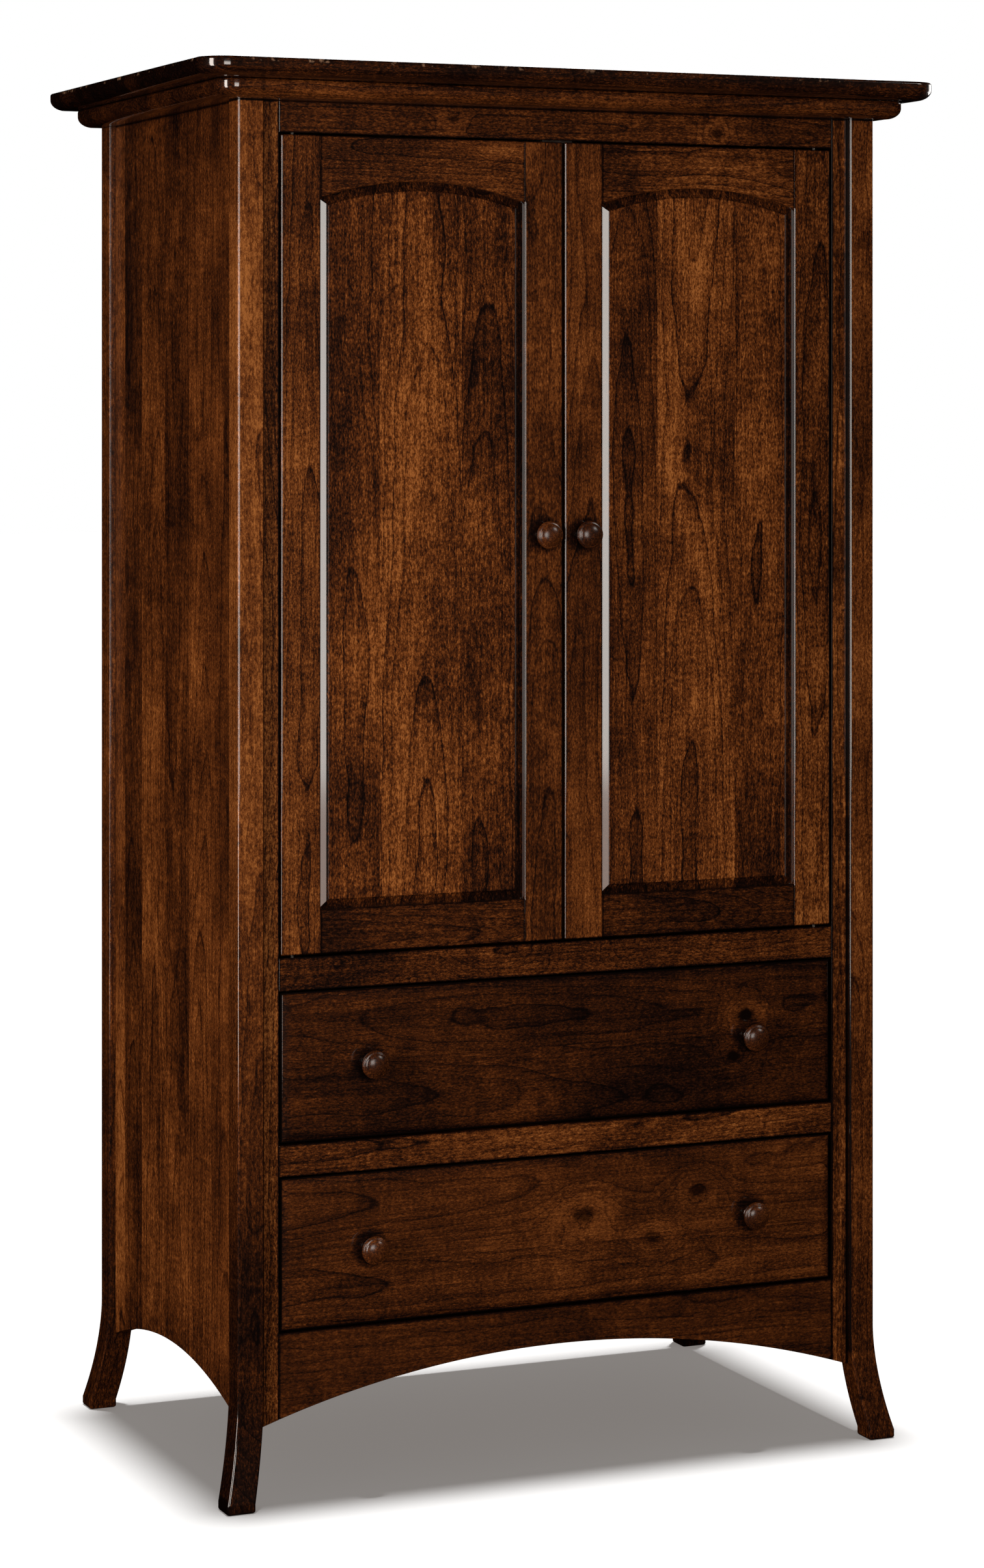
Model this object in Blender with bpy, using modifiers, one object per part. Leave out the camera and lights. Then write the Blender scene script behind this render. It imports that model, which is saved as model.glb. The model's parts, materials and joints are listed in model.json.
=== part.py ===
"""Two-door armoire with two drawers, built from its separate pieces of wood and hardware.

Units are metres and +Z is up. The front faces -Y, left and right are those of a person who stands in
front of it, and the origin lies on the floor under the middle of the overall box.
Run it with: blender --background --python part.py
"""

import math

import bmesh
import bpy
from mathutils import Vector

# ---------------------------------------------------------------- driving dimensions

HEIGHT = 1.930
CASE_WIDTH = 0.962          # over the outer faces of the legs
CASE_DEPTH = 0.5987
LEG = 0.038                 # square section of a leg
GAP = 0.0003                # between two pieces that touch

BOARD = 0.025               # thickness of the top board and of the sub-top under it
TOP_OVERHANG = 0.071        # past the legs, at the front and the sides
SUB_TOP_OVERHANG = 0.036
TOP_CORNER = 0.040          # radius in plan of the front corners
SUB_TOP_CORNER = 0.028
ROUND_OVER = 0.004          # small radius along the upper edge of both boards
OVOLO_REACH = 0.022         # quarter ellipse under both boards, sideways
OVOLO_RISE = 0.015          # and upwards

FRAME_RECESS = 0.0105       # face frame behind the fronts of the legs
FRAME_THICK = 0.021         # face frame and door leaves
SIDE_RECESS = 0.0094        # side panels inside the outer faces of the legs
SIDE_THICK = 0.019
OPENING_WIDTH = 0.8376
TOP_RAIL = 0.042
DOOR_OPENING = 1.1075
MIDDLE_RAIL = 0.044
UPPER_DRAWER_OPENING = 0.207
DRAWER_RAIL = 0.042
LOWER_DRAWER_OPENING = 0.210
ARCH_TOP = 0.1757           # crown of the arch under the front
ARCH_RADIUS = 1.411
SIDE_ARCH_TOP = 0.158
SIDE_ARCH_RADIUS = 0.800

FOOT_FLARE = 0.0223         # how far a foot kicks out, in both directions
FLARE_TOP = 0.160
FLARE_POWER = 1.8
TOE_HEIGHT = 0.012          # the toe is upright up to here
INNER_FLARE = 0.9           # the inner faces of a foot follow with this share

DOOR_GAP = 0.003            # at the hinge side and the bottom
DOOR_TOP_GAP = 0.0025
MEETING_GAP = 0.0036        # between the two doors
DOOR_STILE = 0.057
DOOR_BOTTOM_RAIL = 0.0595
DOOR_TOP_RAIL = 0.0845      # at its ends, where the arch is lowest
DOOR_ARCH_RISE = 0.025
PIVOT_INSET = 0.020         # from a door's outer edge to its pivot axis
PIN_RADIUS = 0.004
PIN_BORE_RADIUS = 0.0046
PIN_REACH = 0.010           # how deep a pin enters the rail and the door

TONGUE_THICK = 0.007        # edge of a raised panel, held in the grooves of its frame
TONGUE_SETBACK = 0.0095     # its front face behind the front of the frame
TONGUE_DEPTH = 0.008
GROOVE_PLAY = 0.0004
COVE_WIDTH = 0.0125
COVE_RISE = 0.0035
FIELD_STEP = 0.001

DRAWER_FRONT_THICK = 0.020
DRAWER_FRONT_GAP = 0.003
DRAWER_MARGIN = 0.0065      # bevelled margin round a drawer front
DRAWER_MARGIN_RISE = 0.003
DRAWER_SIDE_HEIGHT = 0.180
DRAWER_SIDE_THICK = 0.018
DRAWER_SIDE_CLEARANCE = 0.0025
DRAWER_LENGTH = 0.500
DRAWER_BACK_THICK = 0.0155
DRAWER_BACK_DROP = 0.006    # top of the drawer back below the top of the sides
DRAWER_BOTTOM_THICK = 0.006
DRAWER_BOTTOM_RISE = 0.010  # bottom panel above the lower edge of the sides

RUNNER_HEIGHT = 0.060
RUNNER_TONGUE = 0.018       # height of the strip that carries a drawer side
RUNNER_GROOVE = 0.019
RUNNER_GROOVE_DEPTH = 0.010
RUNNER_END_PLAY = 0.0007

FLOOR_THICK = 0.019
BOTTOM_THICK = 0.012
BOTTOM_HEIGHT = 0.200
BACK_THICK = 0.006
BACK_SETBACK = 0.0107       # back panel inside the back faces of the legs
BACK_RAIL_THICK = 0.0210
BACK_TOP_RAIL = 0.080
BACK_BOTTOM_RAIL = 0.060

SHELF_HEIGHT = 1.640
SHELF_FRONT = 0.0435        # front edge behind the face frame
CLEAT_HEIGHT = 0.075
CLEAT_THICK = 0.019
ROD_RADIUS = 0.016
ROD_HEIGHT = 1.595
CUP_RADIUS = 0.024
CUP_BORE = 0.0166
CUP_DEPTH = 0.012
CUP_FLOOR = 0.003

KNOB_HEIGHT = 1.293
DRAWER_KNOB_SPACING = 0.576
CATCH_SIZE = Vector((0.046, 0.025, 0.050))
CATCH_DROP = 0.0255         # the catch reaches this far below the top rail

# Turned knob, from the middle of its face to its foot: radius, distance from the door.
KNOB_PROFILE = (
    (0.0, 0.0300),
    (0.0070, 0.0292),
    (0.0130, 0.0268),
    (0.0150, 0.0250),
    (0.0185, 0.0228),
    (0.0192, 0.0200),
    (0.0175, 0.0168),
    (0.0100, 0.0135),
    (0.0075, 0.0100),
    (0.0078, 0.0050),
    (0.0100, 0.0),
    (0.0, 0.0),
)
KNOB_STEPS = 16
ROUND_STEPS = 16
PIN_STEPS = 12
CORNER_STEPS = 6
OVOLO_STEPS = 5
ROUND_OVER_STEPS = 2
ARCH_STEPS = 16
DOOR_ARCH_STEPS = 10

# ---------------------------------------------------------------- derived places

HALF_CASE = CASE_WIDTH / 2
LEG_INNER = HALF_CASE - LEG
OVERALL_DEPTH = CASE_DEPTH + TOP_OVERHANG + FOOT_FLARE
BACK_Y = OVERALL_DEPTH / 2
LEG_FRONT_Y = -OVERALL_DEPTH / 2 + TOP_OVERHANG
LEG_BACK_Y = LEG_FRONT_Y + CASE_DEPTH
FRONT_Y = LEG_FRONT_Y + FRAME_RECESS
FRAME_BACK_Y = FRONT_Y + FRAME_THICK
SIDE_FRONT_Y = LEG_FRONT_Y + LEG
SIDE_BACK_Y = LEG_BACK_Y - LEG
SIDE_MIDDLE_Y = (SIDE_FRONT_Y + SIDE_BACK_Y) / 2
SIDE_OUTER = HALF_CASE - SIDE_RECESS
SIDE_INNER = SIDE_OUTER - SIDE_THICK
BACK_PANEL_Y = LEG_BACK_Y - BACK_SETBACK - BACK_THICK
HALF_OPENING = OPENING_WIDTH / 2

SUB_TOP_TOP = HEIGHT - BOARD
CASE_TOP = HEIGHT - 2 * (BOARD + GAP)
TOP_RAIL_BOTTOM = CASE_TOP - TOP_RAIL
MIDDLE_RAIL_TOP = TOP_RAIL_BOTTOM - DOOR_OPENING
MIDDLE_RAIL_BOTTOM = MIDDLE_RAIL_TOP - MIDDLE_RAIL
DRAWER_RAIL_TOP = MIDDLE_RAIL_BOTTOM - UPPER_DRAWER_OPENING
DRAWER_RAIL_BOTTOM = DRAWER_RAIL_TOP - DRAWER_RAIL
APRON_TOP = DRAWER_RAIL_BOTTOM - LOWER_DRAWER_OPENING

DOOR_OUTER = HALF_OPENING - DOOR_GAP
DOOR_INNER = MEETING_GAP / 2
DOOR_TOP = TOP_RAIL_BOTTOM - DOOR_TOP_GAP
DOOR_BOTTOM = MIDDLE_RAIL_TOP + DOOR_GAP + GAP
DOOR_MIDDLE = (DOOR_OUTER + DOOR_INNER) / 2
PANEL_HALF = (DOOR_OUTER - DOOR_INNER) / 2 - DOOR_STILE
PANEL_BOTTOM = DOOR_BOTTOM + DOOR_BOTTOM_RAIL
PANEL_SPRING = DOOR_TOP - DOOR_TOP_RAIL
DOOR_ARCH_RADIUS = (PANEL_HALF ** 2 + DOOR_ARCH_RISE ** 2) / (2 * DOOR_ARCH_RISE)
DOOR_ARCH_CENTRE = PANEL_SPRING + DOOR_ARCH_RISE - DOOR_ARCH_RADIUS
PIVOT_X = DOOR_OUTER - PIVOT_INSET
PIVOT_Y = FRONT_Y + FRAME_THICK / 2
KNOB_X = DOOR_INNER + DOOR_STILE / 2

UPPER_DRAWER_MIDDLE = (MIDDLE_RAIL_BOTTOM + DRAWER_RAIL_TOP) / 2
LOWER_DRAWER_MIDDLE = (DRAWER_RAIL_BOTTOM + APRON_TOP) / 2
DRAWER_BACK_OF_FRONT = FRONT_Y + DRAWER_FRONT_THICK
DRAWER_SIDE_OUTER = HALF_OPENING - DRAWER_SIDE_CLEARANCE
DRAWER_SIDE_INNER = DRAWER_SIDE_OUTER - DRAWER_SIDE_THICK
DRAWER_GROOVE_X = DRAWER_SIDE_OUTER - RUNNER_GROOVE_DEPTH

# ---------------------------------------------------------------- scene, materials, helpers


def clear_scene():
    """Removes every object that the start-up file holds."""
    for existing in list(bpy.data.objects):
        bpy.data.objects.remove(existing, do_unlink=True)


def new_collection(name):
    """Makes a collection under the scene's own."""
    collection = bpy.data.collections.new(name)
    bpy.context.scene.collection.children.link(collection)
    return collection


def new_material(name, colour, roughness, metallic=0.0):
    """Makes a plain Principled BSDF material."""
    material = bpy.data.materials.new(name)
    material.use_nodes = True
    material.diffuse_color = (*colour, 1.0)
    shader = material.node_tree.nodes["Principled BSDF"]
    shader.inputs["Base Color"].default_value = (*colour, 1.0)
    shader.inputs["Roughness"].default_value = roughness
    shader.inputs["Metallic"].default_value = metallic
    return material


def new_empty(name, location):
    """Makes the empty that one moving group hangs from."""
    empty = bpy.data.objects.new(name, None)
    empty.empty_display_size = 0.05
    empty.location = location
    PARTS.objects.link(empty)
    return empty


def register(piece, name, look, parent, collection=None):
    """Names a piece, gives it a material of its own and hangs it from its parent."""
    piece.name = name
    piece.data.name = name
    for user in list(piece.users_collection):
        user.objects.unlink(piece)
    (collection or PARTS).objects.link(piece)
    colour, roughness, metallic = LOOKS[look]
    piece.data.materials.clear()
    piece.data.materials.append(new_material(name, colour, roughness, metallic))
    piece.parent = parent
    piece.location -= parent.location
    return piece


def cutter(piece, name):
    """Turns a mesh into a hidden cutter."""
    piece.name = name
    for user in list(piece.users_collection):
        user.objects.unlink(piece)
    CUTTERS.objects.link(piece)
    piece.hide_render = True
    piece.display_type = "WIRE"
    return piece


def cut(piece, tool):
    """Subtracts a cutter from a piece."""
    modifier = piece.modifiers.new("cut_" + tool.name, "BOOLEAN")
    modifier.operation = "DIFFERENCE"
    modifier.solver = "EXACT"
    modifier.object = tool


def mesh_object(bm, location=(0.0, 0.0, 0.0)):
    """Makes a mesh object from a bmesh and frees the bmesh."""
    mesh = bpy.data.meshes.new("mesh")
    bm.normal_update()
    bm.to_mesh(mesh)
    bm.free()
    piece = bpy.data.objects.new("piece", mesh)
    piece.location = location
    bpy.context.scene.collection.objects.link(piece)
    return piece


def box(x, y, z):
    """Makes a box between the two values given for each axis, with its origin in its middle."""
    size = Vector((abs(x[1] - x[0]), abs(y[1] - y[0]), abs(z[1] - z[0])))
    middle = Vector(((x[0] + x[1]) / 2, (y[0] + y[1]) / 2, (z[0] + z[1]) / 2))
    bm = bmesh.new()
    bmesh.ops.create_cube(bm, size=1.0)
    bmesh.ops.scale(bm, vec=size, verts=bm.verts)
    return mesh_object(bm, middle)


def cylinder(radius, start, end, steps):
    """Makes a cylinder between two points on a line along X or Z."""
    start = Vector(start)
    end = Vector(end)
    span = end - start
    bm = bmesh.new()
    bmesh.ops.create_cone(
        bm, cap_ends=True, segments=steps, radius1=radius, radius2=radius, depth=span.length
    )
    piece = mesh_object(bm, (start + end) / 2)
    piece.rotation_euler = span.to_track_quat("Z", "Y").to_euler()
    smooth(piece)
    return piece


def smooth(piece):
    """Shades the round faces of a mesh smooth and keeps its edges sharp."""
    piece.data.shade_smooth()
    piece.data.set_sharp_from_angle(angle=math.radians(40))


# How an outline's own x, y and thickness axes turn to lie in each plane of the armoire.
PLANE_TURNS = {
    "XZ": (math.radians(90), 0.0, 0.0),
    "YZ": (math.radians(90), 0.0, math.radians(90)),
    "XY": (0.0, 0.0, 0.0),
}
PLANE_AXES = {
    "XZ": Vector((0.0, 1.0, 0.0)),
    "YZ": Vector((1.0, 0.0, 0.0)),
    "XY": Vector((0.0, 0.0, 1.0)),
}


def plate(outline, plane, start, end):
    """Makes a flat piece from its outline in one plane, which reaches from start to end across it."""
    curve = bpy.data.curves.new("outline", "CURVE")
    curve.dimensions = "2D"
    curve.fill_mode = "BOTH"
    curve.extrude = abs(end - start) / 2
    spline = curve.splines.new("POLY")
    spline.points.add(len(outline) - 1)
    for point, (across, up) in zip(spline.points, outline):
        point.co = (across, up, 0.0, 1.0)
    spline.use_cyclic_u = True
    flat = bpy.data.objects.new("outline", curve)
    bpy.context.scene.collection.objects.link(flat)
    bpy.context.view_layer.update()
    evaluated = flat.evaluated_get(bpy.context.evaluated_depsgraph_get())
    mesh = bpy.data.meshes.new_from_object(evaluated)
    bpy.data.objects.remove(flat)
    bpy.data.curves.remove(curve)

    bm = bmesh.new()
    bm.from_mesh(mesh)
    bmesh.ops.remove_doubles(bm, verts=bm.verts, dist=0.00001)
    bmesh.ops.dissolve_limit(bm, angle_limit=math.radians(0.2), verts=bm.verts, edges=bm.edges)
    bmesh.ops.recalc_face_normals(bm, faces=bm.faces)
    bm.normal_update()
    bm.to_mesh(mesh)
    bm.free()
    piece = bpy.data.objects.new("piece", mesh)
    piece.rotation_euler = PLANE_TURNS[plane]
    piece.location = PLANE_AXES[plane] * (start + end) / 2
    bpy.context.scene.collection.objects.link(piece)
    return piece


def turned(profile, location, rotation, steps):
    """Turns a profile of (radius, height) points, listed from the top down, round its own Z axis."""
    bm = bmesh.new()
    points = [bm.verts.new((radius, 0.0, height)) for radius, height in profile]
    for upper, lower in zip(points, points[1:]):
        bm.edges.new((upper, lower))
    piece = mesh_object(bm, location)
    piece.rotation_euler = rotation
    screw = piece.modifiers.new("turn", "SCREW")
    screw.axis = "Z"
    screw.angle = math.radians(360)
    screw.steps = steps
    screw.render_steps = steps
    screw.use_merge_vertices = True
    screw.merge_threshold = 0.00005
    screw.use_smooth_shade = True
    return piece


def arch_at(position, crown, radius):
    """Height of a round arch at a distance from its middle."""
    return crown - radius + math.sqrt(radius ** 2 - position ** 2)


def spread(first, last, steps):
    """Evenly spaced values from first to last."""
    return [first + (last - first) * step / steps for step in range(steps + 1)]


# ---------------------------------------------------------------- top


def moulded_board(overhang, corner, top, back):
    """Board with a moulded front and sides: round-over above, quarter ellipse below, sawn off at the back."""
    side = HALF_CASE + overhang
    front = LEG_FRONT_Y - overhang
    behind = back + 2 * OVOLO_REACH
    outline = [(side, behind), (-side, behind)]
    for centre_x, start in ((-side + corner, 180), (side - corner, 270)):
        for angle in spread(start, start + 90, CORNER_STEPS):
            turn = math.radians(angle)
            outline.append((centre_x + corner * math.cos(turn), front + corner * (1 + math.sin(turn))))
    board = plate(outline, "XY", top - BOARD + OVOLO_RISE, top - ROUND_OVER)

    bm = bmesh.new()
    bm.from_mesh(board.data)
    upper = [face for face in bm.faces if face.normal.z > 0.5]
    lower = [face for face in bm.faces if face.normal.z < -0.5]
    mould(bm, upper, ROUND_OVER, ROUND_OVER, ROUND_OVER_STEPS)
    mould(bm, lower, OVOLO_REACH, OVOLO_RISE, OVOLO_STEPS)
    everything = bm.verts[:] + bm.edges[:] + bm.faces[:]
    bmesh.ops.bisect_plane(
        bm, geom=everything, plane_co=(0, back, 0), plane_no=(0, 1, 0), clear_outer=True
    )
    open_edges = [edge for edge in bm.edges if edge.is_boundary]
    bmesh.ops.contextual_create(bm, geom=open_edges)
    bmesh.ops.recalc_face_normals(bm, faces=bm.faces)
    bm.to_mesh(board.data)
    bm.free()
    smooth(board)
    return board


def mould(bm, faces, reach, rise, steps):
    """Rounds the border of flat faces inwards over a reach, while it rises along a quarter ellipse."""
    angles = [math.radians(angle) for angle in spread(0, 90, steps)]
    for before, after in zip(angles, angles[1:]):
        inward = reach * (math.cos(before) - math.cos(after))
        outward = rise * (math.sin(after) - math.sin(before))
        bmesh.ops.inset_region(
            bm, faces=faces, thickness=inward, depth=outward, use_even_offset=True, use_boundary=True
        )


def build_top(case):
    """The top board and the narrower sub-top board under it."""
    top_board = moulded_board(TOP_OVERHANG, TOP_CORNER, HEIGHT, BACK_Y)
    register(top_board, "top_board", "cherry", case)
    sub_top = moulded_board(SUB_TOP_OVERHANG, SUB_TOP_CORNER, SUB_TOP_TOP - GAP, LEG_BACK_Y)
    register(sub_top, "sub_top_board", "cherry", case)


# ---------------------------------------------------------------- legs and sides


def foot_flare(height):
    """How far the foot stands out at a height above the floor."""
    if height <= TOE_HEIGHT:
        return FOOT_FLARE
    if height >= FLARE_TOP:
        return 0.0
    return FOOT_FLARE * ((FLARE_TOP - height) / (FLARE_TOP - TOE_HEIGHT)) ** FLARE_POWER


def build_leg(name, case, side, end):
    """Square post whose foot kicks outwards, with side -1 or 1 along X and end -1 or 1 along Y."""
    outer_x = side * HALF_CASE
    outer_y = LEG_FRONT_Y if end < 0 else LEG_BACK_Y
    middle = Vector((outer_x - side * LEG / 2, outer_y - end * LEG / 2, 0.0))
    height = CASE_TOP
    bm = bmesh.new()
    bmesh.ops.create_cube(bm, size=1.0)
    bmesh.ops.scale(bm, vec=(LEG, LEG, height), verts=bm.verts)
    bmesh.ops.translate(bm, vec=(0, 0, height / 2), verts=bm.verts)
    for level in [TOE_HEIGHT] + spread(TOE_HEIGHT + 0.018, FLARE_TOP, 6):
        everything = bm.verts[:] + bm.edges[:] + bm.faces[:]
        bmesh.ops.bisect_plane(bm, geom=everything, plane_co=(0, 0, level), plane_no=(0, 0, 1))
    for vert in bm.verts:
        flare = foot_flare(vert.co.z)
        share_x = 1.0 if vert.co.x * side > 0 else INNER_FLARE
        share_y = 1.0 if vert.co.y * end > 0 else INNER_FLARE
        vert.co.x += side * flare * share_x
        vert.co.y += end * flare * share_y
    leg = mesh_object(bm, middle)
    register(leg, name, "cherry", case)


def build_side(name, case, side):
    """Glued-up side panel between a front and a back leg, with an arch cut in its lower edge."""
    front = SIDE_FRONT_Y + GAP
    back = SIDE_BACK_Y - GAP
    outline = [(back, CASE_TOP), (front, CASE_TOP)]
    for place in spread(front, back, ARCH_STEPS):
        outline.append((place, arch_at(place - SIDE_MIDDLE_Y, SIDE_ARCH_TOP, SIDE_ARCH_RADIUS)))
    panel = plate(outline, "YZ", side * SIDE_INNER, side * SIDE_OUTER)
    register(panel, name, "cherry", case)


# ---------------------------------------------------------------- face frame


def rail(name, case, bottom, top, pin_bores=()):
    """Horizontal member of the face frame, between the two stiles."""
    reach = HALF_OPENING - GAP
    piece = box((-reach, reach), (FRONT_Y, FRAME_BACK_Y), (bottom, top))
    for tool in pin_bores:
        cut(piece, tool)
    register(piece, name, "cherry", case)


def build_face_frame(case, top_bores, bottom_bores):
    """Stiles, rails and the arched apron that carry the doors and drawers."""
    for name, side in (("face_stile_left", -1), ("face_stile_right", 1)):
        inner = HALF_OPENING
        outer = LEG_INNER - GAP
        outline = [
            (side * inner, arch_at(inner, ARCH_TOP, ARCH_RADIUS)),
            (side * outer, arch_at(outer, ARCH_TOP, ARCH_RADIUS)),
            (side * outer, CASE_TOP),
            (side * inner, CASE_TOP),
        ]
        register(plate(outline, "XZ", FRONT_Y, FRAME_BACK_Y), name, "cherry", case)
    rail("top_rail", case, TOP_RAIL_BOTTOM, CASE_TOP, top_bores)
    rail("middle_rail", case, MIDDLE_RAIL_BOTTOM, MIDDLE_RAIL_TOP, bottom_bores)
    rail("drawer_rail", case, DRAWER_RAIL_BOTTOM, DRAWER_RAIL_TOP)
    reach = HALF_OPENING - GAP
    outline = [(reach, APRON_TOP), (-reach, APRON_TOP)]
    for place in spread(-reach, reach, ARCH_STEPS):
        outline.append((place, arch_at(place, ARCH_TOP, ARCH_RADIUS)))
    register(plate(outline, "XZ", FRONT_Y, FRAME_BACK_Y), "arched_apron", "cherry", case)


# ---------------------------------------------------------------- inside of the case


def fitted_board(bottom, top):
    """Horizontal board that fills the case from the face frame to the back panel, notched round the legs."""
    narrow = LEG_INNER - GAP
    wide = SIDE_INNER - GAP
    front = FRAME_BACK_Y + GAP
    back = BACK_PANEL_Y - GAP
    front_notch = SIDE_FRONT_Y + GAP
    back_notch = SIDE_BACK_Y - GAP
    right = [
        (narrow, front),
        (narrow, front_notch),
        (wide, front_notch),
        (wide, back_notch),
        (narrow, back_notch),
        (narrow, back),
    ]
    left = [(-across, along) for across, along in reversed(right)]
    return plate(right + left, "XY", bottom, top)


def build_inside(case):
    """Back, floors, shelf and hanging rod."""
    reach = LEG_INNER - GAP
    back_panel = box(
        (-reach, reach), (BACK_PANEL_Y, BACK_PANEL_Y + BACK_THICK), (BOTTOM_HEIGHT, CASE_TOP)
    )
    register(back_panel, "back_panel", "birch", case)
    rail_y = (BACK_PANEL_Y - GAP - BACK_RAIL_THICK, BACK_PANEL_Y - GAP)
    top_z = (CASE_TOP - BACK_TOP_RAIL, CASE_TOP)
    register(box((-reach, reach), rail_y, top_z), "back_top_rail", "birch", case)
    bottom_z = (BOTTOM_HEIGHT + BOTTOM_THICK + GAP, BOTTOM_HEIGHT + BOTTOM_THICK + BACK_BOTTOM_RAIL)
    register(box((-reach, reach), rail_y, bottom_z), "back_bottom_rail", "birch", case)

    floor = fitted_board(MIDDLE_RAIL_TOP - FLOOR_THICK, MIDDLE_RAIL_TOP)
    register(floor, "wardrobe_floor", "cherry", case)
    bottom = fitted_board(BOTTOM_HEIGHT, BOTTOM_HEIGHT + BOTTOM_THICK)
    register(bottom, "case_bottom", "birch", case)

    shelf_y = (FRAME_BACK_Y + SHELF_FRONT, SIDE_BACK_Y - GAP)
    shelf_reach = SIDE_INNER - GAP
    shelf_z = (SHELF_HEIGHT, SHELF_HEIGHT + FLOOR_THICK)
    register(box((-shelf_reach, shelf_reach), shelf_y, shelf_z), "hat_shelf", "cherry", case)
    cleat_z = (SHELF_HEIGHT - GAP - CLEAT_HEIGHT, SHELF_HEIGHT - GAP)
    cleat_inner = shelf_reach - CLEAT_THICK
    for word, side in (("left", -1), ("right", 1)):
        cleat = box((side * shelf_reach, side * cleat_inner), shelf_y, cleat_z)
        register(cleat, "shelf_cleat_" + word, "birch", case)
        cup_profile = (
            (0.0, CUP_FLOOR),
            (CUP_BORE, CUP_FLOOR),
            (CUP_BORE, CUP_DEPTH),
            (CUP_RADIUS, CUP_DEPTH),
            (CUP_RADIUS, 0.0),
            (0.0, 0.0),
        )
        place = (side * (cleat_inner - GAP), SIDE_MIDDLE_Y, ROD_HEIGHT)
        cup = turned(cup_profile, place, (0.0, -side * math.radians(90), 0.0), ROUND_STEPS)
        register(cup, "rod_cup_" + word, "steel", case)
    rod_end = cleat_inner - 2 * GAP - CUP_FLOOR
    ends = [(side * rod_end, SIDE_MIDDLE_Y, ROD_HEIGHT) for side in (-1, 1)]
    register(cylinder(ROD_RADIUS, *ends, ROUND_STEPS), "clothes_rod", "cherry", case)


def build_runner(name, case, side, middle):
    """Wooden runner on a case side, whose strip fits the groove in a drawer side."""
    back = side * (SIDE_INNER - GAP)
    face = side * HALF_OPENING
    tip = side * (DRAWER_GROOVE_X + RUNNER_END_PLAY)
    half = RUNNER_HEIGHT / 2
    strip = RUNNER_TONGUE / 2
    outline = [
        (back, middle - half),
        (face, middle - half),
        (face, middle - strip),
        (tip, middle - strip),
        (tip, middle + strip),
        (face, middle + strip),
        (face, middle + half),
        (back, middle + half),
    ]
    runner = plate(outline, "XZ", SIDE_FRONT_Y + GAP, SIDE_BACK_Y - GAP)
    register(runner, name, "birch", case)


def build_catch(case):
    """Magnetic catch behind the top rail, which both doors close against."""
    half = CATCH_SIZE.x / 2
    front = FRAME_BACK_Y + GAP
    low = TOP_RAIL_BOTTOM - CATCH_DROP
    catch = box((-half, half), (front, front + CATCH_SIZE.y), (low, low + CATCH_SIZE.z))
    register(catch, "door_catch", "plastic", case)


# ---------------------------------------------------------------- doors


def panel_outline(middle, grow):
    """Outline of the arched opening in a door frame, grown evenly all round."""
    half = PANEL_HALF + grow
    radius = DOOR_ARCH_RADIUS + grow
    outline = [(middle - half, PANEL_BOTTOM - grow), (middle + half, PANEL_BOTTOM - grow)]
    for place in spread(half, -half, DOOR_ARCH_STEPS):
        outline.append((middle + place, DOOR_ARCH_CENTRE + math.sqrt(radius ** 2 - place ** 2)))
    return outline


def raised_panel(middle):
    """Panel with a thin edge, a cove and a raised field that stays behind the face of the frame."""
    front = FRONT_Y + TONGUE_SETBACK
    panel = plate(panel_outline(middle, TONGUE_DEPTH), "XZ", front, front + TONGUE_THICK)
    bm = bmesh.new()
    bm.from_mesh(panel.data)
    face = [face for face in bm.faces if face.normal.z > 0.5]
    for inward, outward in (
        (TONGUE_DEPTH, 0.0),
        (COVE_WIDTH / 2, COVE_RISE / 4),
        (COVE_WIDTH / 2, COVE_RISE * 3 / 4),
        (FIELD_STEP / 4, FIELD_STEP),
    ):
        bmesh.ops.inset_region(
            bm, faces=face, thickness=inward, depth=outward, use_even_offset=True, use_boundary=True
        )
    bm.to_mesh(panel.data)
    bm.free()
    return panel


def build_pin(name, door, side, rail_face, leaf_end):
    """Steel pivot pin, sunk in the end of a door stile and turning in a rail of the face frame."""
    towards_rail = 1 if rail_face > leaf_end else -1
    far = rail_face + towards_rail * PIN_REACH
    near = leaf_end - towards_rail * PIN_REACH
    place = [(side * PIVOT_X, PIVOT_Y, level) for level in (near, far)]
    register(cylinder(PIN_RADIUS, *place, PIN_STEPS), name, "steel", door)


def pin_bore(name, side, rail_face, leaf_end):
    """Cutter for the holes that a pivot pin needs in the rail and in the door."""
    towards_rail = 1 if rail_face > leaf_end else -1
    far = rail_face + towards_rail * (PIN_REACH + 2 * GAP)
    near = leaf_end - towards_rail * (PIN_REACH + 2 * GAP)
    place = [(side * PIVOT_X, PIVOT_Y, level) for level in (near, far)]
    return cutter(cylinder(PIN_BORE_RADIUS, *place, PIN_STEPS), name)


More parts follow.
